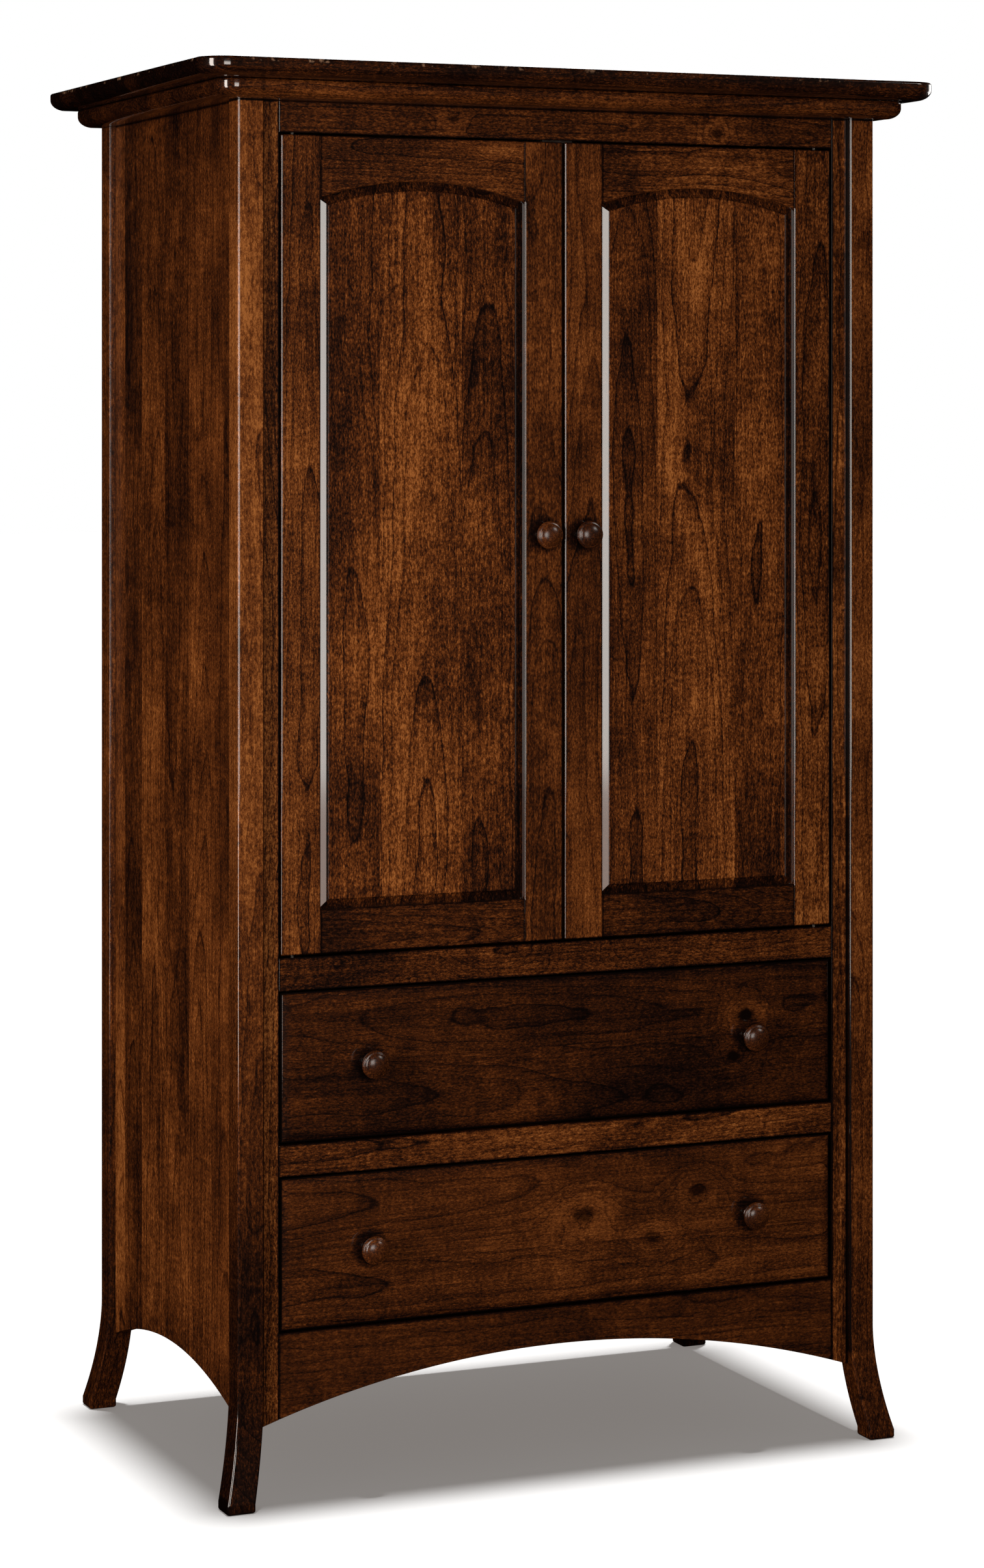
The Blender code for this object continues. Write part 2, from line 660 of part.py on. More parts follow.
def build_door(word, side, top_bore, bottom_bore):
    """Arched frame-and-panel door that turns on two hidden pins near its outer edge."""
    door = new_empty("door_" + word + "_pivot", (side * PIVOT_X, PIVOT_Y, DOOR_BOTTOM))
    middle = side * DOOR_MIDDLE
    groove_front = FRONT_Y + TONGUE_SETBACK - GAP
    groove_back = FRONT_Y + TONGUE_SETBACK + TONGUE_THICK + GAP
    groove_outline = panel_outline(middle, TONGUE_DEPTH + GROOVE_PLAY)
    groove = cutter(plate(groove_outline, "XZ", groove_front, groove_back), "groove_" + word)
    thickness = (FRONT_Y, FRAME_BACK_Y)

    outer_x = (side * DOOR_OUTER, side * (DOOR_OUTER - DOOR_STILE))
    outer = box(outer_x, thickness, (DOOR_BOTTOM, DOOR_TOP))
    for tool in (groove, top_bore, bottom_bore):
        cut(outer, tool)
    register(outer, "door_" + word + "_hinge_stile", "cherry", door)
    inner_x = (side * DOOR_INNER, side * (DOOR_INNER + DOOR_STILE))
    inner = box(inner_x, thickness, (DOOR_BOTTOM, DOOR_TOP))
    cut(inner, groove)
    register(inner, "door_" + word + "_knob_stile", "cherry", door)

    reach = PANEL_HALF - GAP
    bottom = box((middle - reach, middle + reach), thickness, (DOOR_BOTTOM, PANEL_BOTTOM))
    cut(bottom, groove)
    register(bottom, "door_" + word + "_bottom_rail", "cherry", door)
    outline = [(middle + reach, DOOR_TOP), (middle - reach, DOOR_TOP)]
    for place in spread(-reach, reach, DOOR_ARCH_STEPS):
        level = arch_at(place, PANEL_SPRING + DOOR_ARCH_RISE, DOOR_ARCH_RADIUS)
        outline.append((middle + place, level))
    arched = plate(outline, "XZ", FRONT_Y, FRAME_BACK_Y)
    cut(arched, groove)
    register(arched, "door_" + word + "_arched_rail", "cherry", door)

    register(raised_panel(middle), "door_" + word + "_panel", "cherry", door)
    build_pin("door_" + word + "_top_pin", door, side, TOP_RAIL_BOTTOM, DOOR_TOP)
    build_pin("door_" + word + "_bottom_pin", door, side, MIDDLE_RAIL_TOP, DOOR_BOTTOM)
    build_knob("door_" + word + "_knob", door, side * KNOB_X, KNOB_HEIGHT)


def build_knob(name, parent, across, height):
    """Turned mushroom knob, facing forwards."""
    place = (across, FRONT_Y - GAP, height)
    knob = turned(KNOB_PROFILE, place, (math.radians(90), 0.0, 0.0), KNOB_STEPS)
    register(knob, name, "knob", parent)


# ---------------------------------------------------------------- drawers


def drawer_front(bottom, top):
    """Inset drawer front with a bevelled margin round a flat field."""
    reach = HALF_OPENING - DRAWER_FRONT_GAP
    outer_y = FRONT_Y + DRAWER_MARGIN_RISE
    front = box((-reach, reach), (outer_y, DRAWER_BACK_OF_FRONT), (bottom, top))
    bm = bmesh.new()
    bm.from_mesh(front.data)
    bm.normal_update()
    face = [face for face in bm.faces if face.normal.y < -0.5]
    bmesh.ops.inset_region(
        bm,
        faces=face,
        thickness=DRAWER_MARGIN,
        depth=DRAWER_MARGIN_RISE,
        use_even_offset=True,
        use_boundary=True,
    )
    bm.to_mesh(front.data)
    bm.free()
    return front


def build_drawer(word, opening_bottom, opening_top, middle):
    """Drawer with a moulded front, grooved sides, a back, a thin bottom and two knobs."""
    drawer = new_empty("drawer_" + word + "_slide", (0.0, FRONT_Y, middle))
    front = drawer_front(opening_bottom + DRAWER_FRONT_GAP, opening_top - DRAWER_FRONT_GAP)
    register(front, "drawer_" + word + "_front", "cherry", drawer)

    side_front = DRAWER_BACK_OF_FRONT + GAP
    side_back = side_front + DRAWER_LENGTH
    low = middle - DRAWER_SIDE_HEIGHT / 2
    high = middle + DRAWER_SIDE_HEIGHT / 2
    half_groove = RUNNER_GROOVE / 2
    for name, side in (("left", -1), ("right", 1)):
        outline = [
            (side * DRAWER_SIDE_INNER, low),
            (side * DRAWER_SIDE_OUTER, low),
            (side * DRAWER_SIDE_OUTER, middle - half_groove),
            (side * DRAWER_GROOVE_X, middle - half_groove),
            (side * DRAWER_GROOVE_X, middle + half_groove),
            (side * DRAWER_SIDE_OUTER, middle + half_groove),
            (side * DRAWER_SIDE_OUTER, high),
            (side * DRAWER_SIDE_INNER, high),
        ]
        board = plate(outline, "XZ", side_front, side_back)
        register(board, "drawer_" + word + "_" + name + "_side", "birch", drawer)

    reach = DRAWER_SIDE_INNER - GAP
    bottom_low = low + DRAWER_BOTTOM_RISE
    bottom_high = bottom_low + DRAWER_BOTTOM_THICK
    bottom = box((-reach, reach), (side_front, side_back), (bottom_low, bottom_high))
    register(bottom, "drawer_" + word + "_bottom", "birch", drawer)
    back_y = (side_back - DRAWER_BACK_THICK, side_back)
    back = box((-reach, reach), back_y, (bottom_high + GAP, high - DRAWER_BACK_DROP))
    register(back, "drawer_" + word + "_back", "birch", drawer)

    for name, side in (("left", -1), ("right", 1)):
        across = side * DRAWER_KNOB_SPACING / 2
        build_knob("drawer_" + word + "_" + name + "_knob", drawer, across, middle)


# ---------------------------------------------------------------- the armoire

# Look: base colour, roughness, metallic value.
LOOKS = {
    "cherry": ((0.115, 0.040, 0.014), 0.36, 0.0),
    "knob": ((0.075, 0.026, 0.010), 0.28, 0.0),
    "birch": ((0.400, 0.235, 0.110), 0.50, 0.0),
    "steel": ((0.520, 0.500, 0.470), 0.35, 1.0),
    "plastic": ((0.060, 0.040, 0.030), 0.50, 0.0),
}

clear_scene()
PARTS = new_collection("armoire")
CUTTERS = new_collection("cutters")


def build_armoire():
    """Builds every piece of the armoire."""
    case = new_empty("case_origin", (0.0, 0.0, 0.0))
    top_bores = []
    bottom_bores = []
    for word, side in (("left", -1), ("right", 1)):
        top_bores.append(pin_bore("top_bore_" + word, side, TOP_RAIL_BOTTOM, DOOR_TOP))
        bottom_bores.append(pin_bore("bottom_bore_" + word, side, MIDDLE_RAIL_TOP, DOOR_BOTTOM))

    build_top(case)
    for side_word, side in (("left", -1), ("right", 1)):
        for end_word, end in (("front", -1), ("back", 1)):
            build_leg("leg_" + end_word + "_" + side_word, case, side, end)
        build_side("side_panel_" + side_word, case, side)
    build_face_frame(case, top_bores, bottom_bores)
    build_inside(case)
    for word, middle in (("upper", UPPER_DRAWER_MIDDLE), ("lower", LOWER_DRAWER_MIDDLE)):
        build_runner(word + "_runner_left", case, -1, middle)
        build_runner(word + "_runner_right", case, 1, middle)
    build_catch(case)

    build_door("left", -1, top_bores[0], bottom_bores[0])
    build_door("right", 1, top_bores[1], bottom_bores[1])
    build_drawer("upper", DRAWER_RAIL_TOP, MIDDLE_RAIL_BOTTOM, UPPER_DRAWER_MIDDLE)
    build_drawer("lower", APRON_TOP, DRAWER_RAIL_BOTTOM, LOWER_DRAWER_MIDDLE)


build_armoire()
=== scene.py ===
"""Looks of the two-door armoire: finely shaped pieces, stained-wood materials, light and camera.

Each piece is built in the row frame from the corners of the CAD node that it stands for, and rides on
that node's body. Units are metres, +Z is up, the front faces -Y, and left and right are those of a
person who stands in front of the armoire.
"""

import itertools
import json
import math
from dataclasses import dataclass

import bmesh
import bpy
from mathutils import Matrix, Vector


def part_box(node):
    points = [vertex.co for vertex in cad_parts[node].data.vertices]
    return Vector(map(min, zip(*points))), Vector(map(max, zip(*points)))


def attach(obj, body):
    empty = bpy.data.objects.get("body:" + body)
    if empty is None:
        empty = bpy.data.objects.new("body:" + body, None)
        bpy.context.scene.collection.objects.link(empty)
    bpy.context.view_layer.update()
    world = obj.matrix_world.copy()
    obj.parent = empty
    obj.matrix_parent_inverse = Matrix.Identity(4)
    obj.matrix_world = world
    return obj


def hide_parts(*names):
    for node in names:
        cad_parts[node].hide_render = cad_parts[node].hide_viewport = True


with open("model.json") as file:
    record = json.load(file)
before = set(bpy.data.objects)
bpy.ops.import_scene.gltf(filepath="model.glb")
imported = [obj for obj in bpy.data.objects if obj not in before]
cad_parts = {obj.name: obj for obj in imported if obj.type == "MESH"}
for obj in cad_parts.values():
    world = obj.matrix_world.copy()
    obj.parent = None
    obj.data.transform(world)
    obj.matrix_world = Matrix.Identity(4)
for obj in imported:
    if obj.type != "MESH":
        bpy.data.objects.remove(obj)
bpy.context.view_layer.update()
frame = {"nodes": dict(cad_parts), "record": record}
SCENE = bpy.context.scene
PIECES = []
BODY_OF = {
    node: body for body, nodes in frame["record"]["behaviour"]["bodies"].items() for node in nodes
}

# ---- dimensions the frame's boxes don't give

LEG = 0.038  # square section of a leg
LEG_ROUNDING = 0.0032
FOOT_FLARE = 0.0223
FLARE_TOP = 0.160
FLARE_POWER = 1.8
TOE_HEIGHT = 0.012
INNER_FLARE = 0.9  # the inner faces of a foot follow with this share
FLARE_STEPS = 44

OVOLO_REACH = 0.022
OVOLO_RISE = 0.015
ROUND_OVER = 0.004
TOP_CORNER = 0.040
SUB_TOP_CORNER = 0.028
LEAST_CORNER = 0.002  # radius left where a moulding eats a corner away

FRONT_ARCH_CROWN = 0.1757
FRONT_ARCH_RADIUS = 1.411
SIDE_ARCH_CROWN = 0.158
SIDE_ARCH_RADIUS = 0.800

DOOR_ARCH_RISE = 0.025
TONGUE_THICK = 0.007
TONGUE_SETBACK = 0.0095  # front of the panel's edge behind the front of the frame
TONGUE_DEPTH = 0.008
GROOVE_PLAY = 0.0004
RAISE_WIDTH = 0.0125  # sloping border of a raised panel
RAISE_HEIGHT = 0.0035
FIELD_STEP = 0.001
FIELD_ROUNDING = 0.0005
STEP_SLOPE = 0.0002  # how far a small step leans, instead of standing upright
TONGUE_BACK_EASED = 0.0006
TONGUE_FRONT_EASED = 0.0004
HOLLOW = 0.4  # share of the border's climb that comes late, which hollows it
HOLLOW_POWER = 2.2

LIP_DEPTH = 0.003  # border of a drawer front behind its field
LIP_WIDTH = 0.0022
QUIRK = 0.0007  # small step where the lip ends
THUMBNAIL_WIDTH = 0.015
LIP_EASED = 0.0009
LIP_BACK_EASED = 0.0005

EASED = 0.0022  # rounding of arrises that hands touch
JOINT_EASED = 0.0001  # hairline at glued joints
STILE_EASED = 0.0005
FRAME_EASED = 0.0007
PLAIN_EASED = 0.0008
SHELF_EASED = 0.001
CATCH_EASED = 0.0015
PIN_CHAMFER = 0.25  # share of the pin's radius
ROD_CHAMFER = 0.0015
ROD_BORE = 0.0166  # radius of the hole in a cup
CUP_WALL = 0.003

CORNER_STEPS = 24
CURVE_STEPS = 14
ARCH_STEPS = 64
TURNED_STEPS = 72
PIN_STEPS = 32
CUP_STEPS = 64
EASED_STEPS = 3  # steps in the quarter turn of an eased arris
ROUND_STEPS = 5
KNOB_STEPS = 4  # between two points of a knob's outline
LEAST_RADIUS = 0.00002  # keeps a turned piece's points on its axis apart

# ---- node trees


class Tree:
    """Short calls that add linked nodes to one node tree."""

    def __init__(self, tree):
        self.tree = tree

    def node(self, kind, inputs=None, **settings):
        """Adds a node; inputs maps a socket's name or number to a value or to another socket."""
        made = self.tree.nodes.new(kind)
        for name, value in settings.items():
            setattr(made, name, value)
        for key, value in (inputs or {}).items():
            self.feed(made, key, value)
        return made

    def math(self, operation, first, second=0.0):
        """One Math node."""
        return self.node("ShaderNodeMath", {0: first, 1: second}, operation=operation).outputs[0]

    def plus(self, first, second):
        """Sum."""
        return self.math("ADD", first, second)

    def minus(self, first, second):
        """Difference."""
        return self.math("SUBTRACT", first, second)

    def times(self, first, second):
        """Product."""
        return self.math("MULTIPLY", first, second)

    def vector(self, operation, first, second=(0.0, 0.0, 0.0)):
        """One Vector Math node with a vector result."""
        return self.node("ShaderNodeVectorMath", {0: first, 1: second}, operation=operation).outputs[0]

    def distance(self, first, second):
        """Length of the vector with these two parts."""
        joined = self.node("ShaderNodeCombineXYZ", {0: first, 1: second}).outputs[0]
        return self.node("ShaderNodeVectorMath", {0: joined}, operation="LENGTH").outputs["Value"]

    def noise(self, place, scale, detail=2.0, roughness=0.5, distortion=0.0):
        """Noise from 0 to 1, with its own scale along each axis."""
        inputs = {"Vector": self.vector("MULTIPLY", place, scale), "Scale": 1.0, "Detail": detail}
        inputs.update({"Roughness": roughness, "Distortion": distortion})
        return self.node("ShaderNodeTexNoise", inputs)

    def map_range(self, value, low, high, to_low=0.0, to_high=1.0, smooth=False):
        """Maps a value from one range to another and clamps it there."""
        inputs = {0: value, 1: low, 2: high, 3: to_low, 4: to_high}
        kind = "SMOOTHSTEP" if smooth else "LINEAR"
        return self.node("ShaderNodeMapRange", inputs, interpolation_type=kind).outputs[0]

    def fade(self, value, place, low, high, loss):
        """Takes loss from a value where place is under low, and smoothly less of it up to high."""
        return self.minus(value, self.map_range(place, low, high, loss, 0.0, smooth=True))

    def ramp(self, factor, stops, constant=False):
        """Colour ramp with stops of (position, colour)."""
        made = self.node("ShaderNodeValToRGB", {0: factor})
        made.color_ramp.interpolation = "CONSTANT" if constant else "LINEAR"
        points = made.color_ramp.elements
        while len(points) < len(stops):
            points.new(0.5)
        for point, (position, colour) in zip(points, stops):
            point.position = position
            point.color = (*colour, 1.0)
        return made.outputs["Color"]

    def mix(self, factor, first, second):
        """Mixes two colours."""
        inputs = {"Factor": factor, 6: first, 7: second}
        return self.node("ShaderNodeMix", inputs, data_type="RGBA").outputs[2]

    def feed(self, node, name, value):
        """Links a socket into a node's input, or sets the input to a plain value."""
        if isinstance(value, bpy.types.NodeSocket):
            self.tree.links.new(value, node.inputs[name])
        else:
            node.inputs[name].default_value = value

    def bump(self, height, strength, distance):
        """Surface normal raised and lowered by a height."""
        inputs = {"Height": height, "Strength": strength, "Distance": distance}
        return self.node("ShaderNodeBump", inputs).outputs[0]


# ---- wood

GRAIN_SOCKETS = {
    "INPUT": {
        "Place": "Vector", "Seed": "Vector", "Pith": "Vector",
        "Ring width": "Float", "Pull": "Float", "Contrast": "Float",
    },
    "OUTPUT": {"Tone": "Float", "Height": "Float"},
}
# How dark a ring is, over its width.
LATE_WOOD = ((0.00, 0.30), (0.04, 0.00), (0.60, 0.08), (0.90, 0.34), (0.96, 1.00), (1.00, 0.30))


def make_grain_group():
    """Wood figure in a place whose axes run across the board, through it and along its grain."""
    group = bpy.data.node_groups.new("wood_grain", "ShaderNodeTree")
    for way, sockets in GRAIN_SOCKETS.items():
        for name, kind in sockets.items():
            group.interface.new_socket(name, in_out=way, socket_type="NodeSocket" + kind)
    tree = Tree(group)
    given = tree.node("NodeGroupInput").outputs
    place = given["Place"]
    seeded = tree.vector("ADD", place, given["Seed"])

    # Annual rings round the pith, which drifts sideways along the board and makes cathedral figure.
    drift = tree.vector("SUBTRACT", tree.noise(seeded, (2.2, 2.2, 0.9), 1.0).outputs[1], (0.5,) * 3)
    curl = tree.vector("SUBTRACT", tree.noise(seeded, (15, 15, 8), 2.0).outputs[1], (0.5,) * 3)
    shaken = tree.vector("ADD", place, tree.vector("MULTIPLY", drift, (0.10, 0.10, 0.0)))
    shaken = tree.vector("ADD", shaken, tree.vector("MULTIPLY", curl, (0.012, 0.012, 0.0)))
    pith = tree.node("ShaderNodeSeparateXYZ", {0: given["Pith"]}).outputs
    spot = tree.node("ShaderNodeSeparateXYZ", {0: shaken}).outputs
    sideways = tree.minus(spot[0], pith[0])
    inwards = tree.minus(spot[1], pith[1])
    inwards = tree.minus(inwards, tree.times(spot[2], pith[2]))
    rings = tree.math("DIVIDE", tree.distance(sideways, inwards), given["Ring width"])
    rings = tree.plus(rings, given["Pull"])
    phase = tree.math("FRACT", rings)
    number = tree.math("FLOOR", rings)
    strength = tree.node("ShaderNodeTexWhiteNoise", {"W": number}, noise_dimensions="1D").outputs[0]
    late = tree.ramp(phase, [(share, (shade,) * 3) for share, shade in LATE_WOOD])
    line = tree.times(late, tree.map_range(strength, 0.15, 0.85, 0.15, 1.0))

    # Fibres, pores, gum streaks, curl across the grain and slow changes of stain.
    fibre = tree.noise(seeded, (250, 250, 11), 4.0, 0.70).outputs[0]
    speckle = tree.noise(seeded, (430, 430, 185), 3.0, 0.85).outputs[0]
    blotch = tree.noise(seeded, (8, 8, 3.5), 3.0, 0.50, 0.5).outputs[0]
    mottle = tree.noise(seeded, (17, 17, 38), 3.0, 0.55, 1.3).outputs[0]
    streak = tree.noise(seeded, (75, 75, 2.4), 3.0, 0.6).outputs[0]
    stain = tree.noise(seeded, (24, 24, 3.2), 3.0, 0.6, 0.5).outputs[0]

    figure = 0.0
    for value, weight, middle in (
        (blotch, 0.95, 0.5), (fibre, 0.85, 0.5), (speckle, 2.0, 0.5), (mottle, 0.45, 0.5),
        (line, -0.46, 0.14),
        (tree.map_range(streak, 0.62, 0.76), -0.20, 0.05),
        (tree.map_range(stain, 0.58, 0.76), -0.18, 0.07),
    ):
        part = tree.times(tree.minus(value, middle), weight)
        figure = tree.plus(figure, part)
    tone = tree.plus(tree.times(figure, given["Contrast"]), 0.5)
    height = tree.plus(tree.times(fibre, 0.6), tree.times(speckle, 0.6))
    height = tree.minus(height, tree.times(line, 0.25))
    tree.node("NodeGroupOutput", {"Tone": tone, "Height": height})
    return group


GRAIN = make_grain_group()
SEEDS = itertools.count(1)

# Colours of one wood from its darkest to its lightest tone.
CHERRY = (
    (0.00, (0.0031, 0.0013, 0.0010)),
    (0.25, (0.0136, 0.0045, 0.0023)),
    (0.50, (0.0580, 0.0151, 0.0036)),
    (0.75, (0.1720, 0.0490, 0.0102)),
    (1.00, (0.3700, 0.1300, 0.0310)),
)
MAPLE = (
    (0.00, (0.120, 0.055, 0.019)),
    (0.30, (0.280, 0.143, 0.055)),
    (0.60, (0.415, 0.236, 0.102)),
    (1.00, (0.535, 0.345, 0.180)),
)
BORDER_SHADE = 0.20  # painted shade: how much darker the wood of a moulded border is coloured
SEED_STEP = (1.37, 2.11, 3.73)  # from one piece's figure to the next one's
STRIP_STEP = 0.37  # from one glued-up board's figure to the next one's
STRIP_SPREAD = 31.0
# Thin dark line at each piece's edge: a dark joint, and painted shade in the gap between pieces.
SEAM_AND_GAP_SHADE_REACH = (0.0003, 0.0028)  # from the piece's edge
SEAM_AND_GAP_SHADE = 0.30
# Painted shadow that a knob casts on the wood round it.
KNOB_SHADOW_REACH = (0.017, 0.031)  # from the knob's axis
KNOB_SHADOW_DARKNESS = 0.34
KNOT_COLOUR = (0.0040, 0.0014, 0.0008, 1.0)
KNOT_STRETCH = 0.72  # width of a knot over its length along the grain
KNOT_RAGGED = 1.1
KNOT_PULL = 560.0  # rings that a knot pushes aside, for each metre of its radius
HALO_PLACE = 2.1  # radius of the pale ring round a knot, in radii of the knot
HALO_GLOW = 0.14
WORN_COLOUR = (0.30, 0.17, 0.10, 1.0)
WORN_HEIGHT = (0.0060, 0.0085)  # above the middle of the top board
WORN_REACH = (0.003, 0.007)  # from its edge
LACQUER_IOR = 1.62
GLEAM = 0.03  # specular level of the wood under its lacquer
GRAIN_RELIEF = 0.0005


def axis_numbers(axes):
    """Numbers of the world axes that these letters name."""
    return ["xyz".index(letter) for letter in axes]


def knob_shadow_places(node, axes, knobs):
    """Where these knobs stand across and along a piece, from its middle."""
    low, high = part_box(node)
    across, _, along = axis_numbers(axes)
    places = []
    for knob in knobs:
        knob_low, knob_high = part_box(knob)
        offset = (knob_low + knob_high - low - high) / 2
        places.append((offset[across], offset[along]))
    return places


@dataclass
class Board:
    """How one piece is cut from its wood and stained, and where light and shade are painted on it. Its places
    are (across, along) from the middle.
    """

    axes: str  # world axes across the board, through it and along its grain
    tone: float = 0.0  # stain: lighter above 0, darker below
    pith: tuple = (0.0, 0.045)  # middle of the rings, across and through the board
    slope: float = 0.03  # how fast the pith drifts out of the board
    ring: float = 0.008  # width of a ring
    strips: tuple = ()  # glued-up boards: start, tone shift, middle of the figure (shares of the width)
    knots: tuple = ()  # place, radius, darkness
    contrast: float = 1.0
    rim: tuple = (0.0, 0.0)  # painted shade: how far dark colour reaches in from the edges, and how dark
    seam: float = SEAM_AND_GAP_SHADE  # darkness of the thin line at the edge: a dark joint, and painted shade in the gap beside it
    painted_shade_fades: tuple = ()  # painted shade towards an end: reach from the lower end (upper end if negative), darkening; a negative darkening paints light
    knob_shadows: tuple = ()  # where knobs stand, round which the knobs' shadows are painted
    worn: float = 0.0  # how much of the upper arris is rubbed pale


def glue_strips(tree, board, across, width):
    """Tone shift, sideways shift and seed of the glued-up board at a place across the piece."""
    share = tree.plus(tree.math("DIVIDE", across, width), 0.5)
    stops = []
    for index, (start, tone, centre) in enumerate(board.strips):
        stops.append((start, (0.5 + tone, centre, (index * STRIP_STEP) % 1.0)))
    values = tree.node("ShaderNodeSeparateColor", {0: tree.ramp(share, stops, constant=True)}).outputs
    tone = tree.minus(values[0], 0.5)
    shift = tree.times(tree.minus(values[1], 0.5), width)
    jump = tree.times(values[2], STRIP_SPREAD)
    return tone, shift, jump


def add_knots(tree, board, spot, across, along):
    """How far the knots pull the rings, how dark they are, and how much their halo glows at a place."""
    pull, dark, halo = 0.0, 0.0, 0.0
    wobble = tree.minus(tree.noise(spot, (70, 70, 70), 2.0).outputs[0], 0.5)
    for knot_across, knot_along, radius, darkness in board.knots:
        sideways = tree.minus(across, knot_across)
        endways = tree.times(tree.minus(along, knot_along), KNOT_STRETCH)
        ragged = tree.times(wobble, radius * KNOT_RAGGED)
        reach = tree.plus(tree.distance(sideways, endways), ragged)
        fall = tree.math("POWER", tree.math("DIVIDE", reach, radius * 3.0), 2.0)
        swell = tree.math("EXPONENT", tree.times(fall, -1.0))
        pull = tree.plus(pull, tree.times(swell, radius * KNOT_PULL))
        core = tree.map_range(reach, radius * 1.25, radius * 0.55, 0.0, darkness, smooth=True)
        dark = tree.math("MAXIMUM", dark, core)
        off_ring = tree.math("DIVIDE", tree.minus(reach, radius * HALO_PLACE), radius)
        off_ring = tree.math("POWER", off_ring, 2.0)
        ring = tree.math("EXPONENT", tree.times(off_ring, -1.0))
        halo = tree.math("MAXIMUM", halo, tree.times(ring, darkness))
    return pull, dark, halo


def add_seams_and_painted_shade(tree, board, tone, axis, width, length):
    """Darkens a tone with dark joint lines at the edges, painted shade in the gaps, near the edges and
    towards the ends, and painted shadows round the knobs. Also gives the edge's distance.
    """
    across, along = axis
    from_side = tree.minus(width / 2, tree.math("ABSOLUTE", across))
    from_end = tree.minus(length / 2, tree.math("ABSOLUTE", along))
    near_edge = tree.math("MINIMUM", from_side, from_end)
    # Thin dark line at the edge: a dark joint, and painted shade in the gap.
    tone = tree.fade(tone, near_edge, *SEAM_AND_GAP_SHADE_REACH, board.seam)
    # Painted shade reaching in from the edges.
    rim_reach, rim_darkness = board.rim
    if rim_reach:
        tone = tree.fade(tone, near_edge, 0.0, rim_reach, rim_darkness)
    # Painted shade towards an end; a negative loss paints light instead.
    for reach, loss in board.painted_shade_fades:
        way = 1.0 if reach > 0 else -1.0
        from_end = tree.plus(tree.times(along, way), length / 2)
        tone = tree.fade(tone, from_end, 0.0, abs(reach), loss)
    # Painted shadow round each knob.
    for shadow_across, shadow_along in board.knob_shadows:
        sideways = tree.minus(across, shadow_across)
        endways = tree.minus(along, shadow_along)
        tone = tree.fade(tone, tree.distance(sideways, endways), *KNOB_SHADOW_REACH, KNOB_SHADOW_DARKNESS)
    return tone, near_edge


def wood_material(
    name, colours, board, node, seed, shade=0.0, gloss=0.40, coat=1.0, coat_roughness=0.08, relief=0.22
):
    """Material of one piece of wood, with the figure that its board describes."""
    low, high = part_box(node)
    middle = tuple((low + high) / 2)
    lacquer = {"Coat Weight": coat, "Coat Roughness": coat_roughness, "Coat IOR": LACQUER_IOR}
    material, tree, shader = new_material(name, {"Specular IOR Level": GLEAM, **lacquer})
    spot = tree.vector("SUBTRACT", tree.node("ShaderNodeTexCoord").outputs["Object"], middle)
    axis = tree.node("ShaderNodeSeparateXYZ", {0: spot}).outputs
    across, through, along = axis_numbers(board.axes)
    width = high[across] - low[across]
    length = high[along] - low[along]

    tone_shift = board.tone - shade
    across_place = axis[across]
    seed_place = tuple(Vector(SEED_STEP) * seed)
    if board.strips:
        strip_tone, shift, jump = glue_strips(tree, board, axis[across], width)
        tone_shift = tree.plus(strip_tone, tone_shift)
        across_place = tree.minus(axis[across], shift)
        jumps = tree.node("ShaderNodeCombineXYZ", {0: jump, 1: jump, 2: jump}).outputs[0]
        seed_place = tree.vector("ADD", jumps, seed_place)
    place = tree.node("ShaderNodeCombineXYZ", {0: across_place, 1: axis[through], 2: axis[along]})
    pull, dark = 0.0, 0.0
    if board.knots:
        pull, dark, halo = add_knots(tree, board, spot, axis[across], axis[along])
        tone_shift = tree.plus(tree.times(halo, HALO_GLOW), tone_shift)
    given = {"Place": place.outputs[0], "Seed": seed_place, "Pith": (*board.pith, board.slope)}
    given.update({"Ring width": board.ring, "Pull": pull, "Contrast": board.contrast})
    grain = tree.node("ShaderNodeGroup", given, node_tree=GRAIN)
    tone = tree.plus(grain.outputs["Tone"], tone_shift)
    tone, near_edge = add_seams_and_painted_shade(tree, board, tone, (axis[across], axis[along]), width, length)

    colour = tree.ramp(tone, colours)
    if board.knots:
        colour = tree.mix(dark, colour, KNOT_COLOUR)
    if board.worn:
        patch = tree.map_range(tree.noise(spot, (55, 55, 55), 3.0, 0.7).outputs[0], 0.58, 0.68)
        upper = tree.map_range(axis[through], *WORN_HEIGHT, 0.0, board.worn, smooth=True)
        upper = tree.times(upper, tree.map_range(near_edge, *WORN_REACH, 1.0, 0.0))
        colour = tree.mix(tree.times(upper, patch), colour, WORN_COLOUR)
    roughness = tree.map_range(grain.outputs["Tone"], 0.1, 0.9, gloss + 0.08, gloss - 0.05)
    tree.feed(shader, "Base Color", colour)
    tree.feed(shader, "Roughness", roughness)
    tree.feed(shader, "Normal", tree.bump(grain.outputs["Height"], relief, GRAIN_RELIEF))
    return material


def new_material(name, settings):
    """Makes a material with these plain values, and returns it with its Tree and its Principled shader."""
    material = bpy.data.materials.new(name)
    material.use_nodes = True
    shader = material.node_tree.nodes["Principled BSDF"]
    for socket, value in settings.items():
        shader.inputs[socket].default_value = value
    return material, Tree(material.node_tree), shader


# ---- other materials


def plain_material(name, darker, lighter, fine, coarse, roughness, relief, metallic=0.0):
    """Material with a fine surface texture and slow changes of colour; fine and coarse are noise settings."""
    material, tree, shader = new_material(name, {"Metallic": metallic})
    spot = tree.node("ShaderNodeTexCoord").outputs["Object"]
    texture = tree.noise(spot, *fine).outputs[0]
    shade = tree.noise(spot, *coarse).outputs[0]
    tree.feed(shader, "Base Color", tree.ramp(shade, ((0.3, darker), (0.7, lighter))))
    tree.feed(shader, "Roughness", tree.map_range(texture, 0.3, 0.7, *roughness))
    tree.feed(shader, "Normal", tree.bump(texture, relief, 0.0002))
    return material


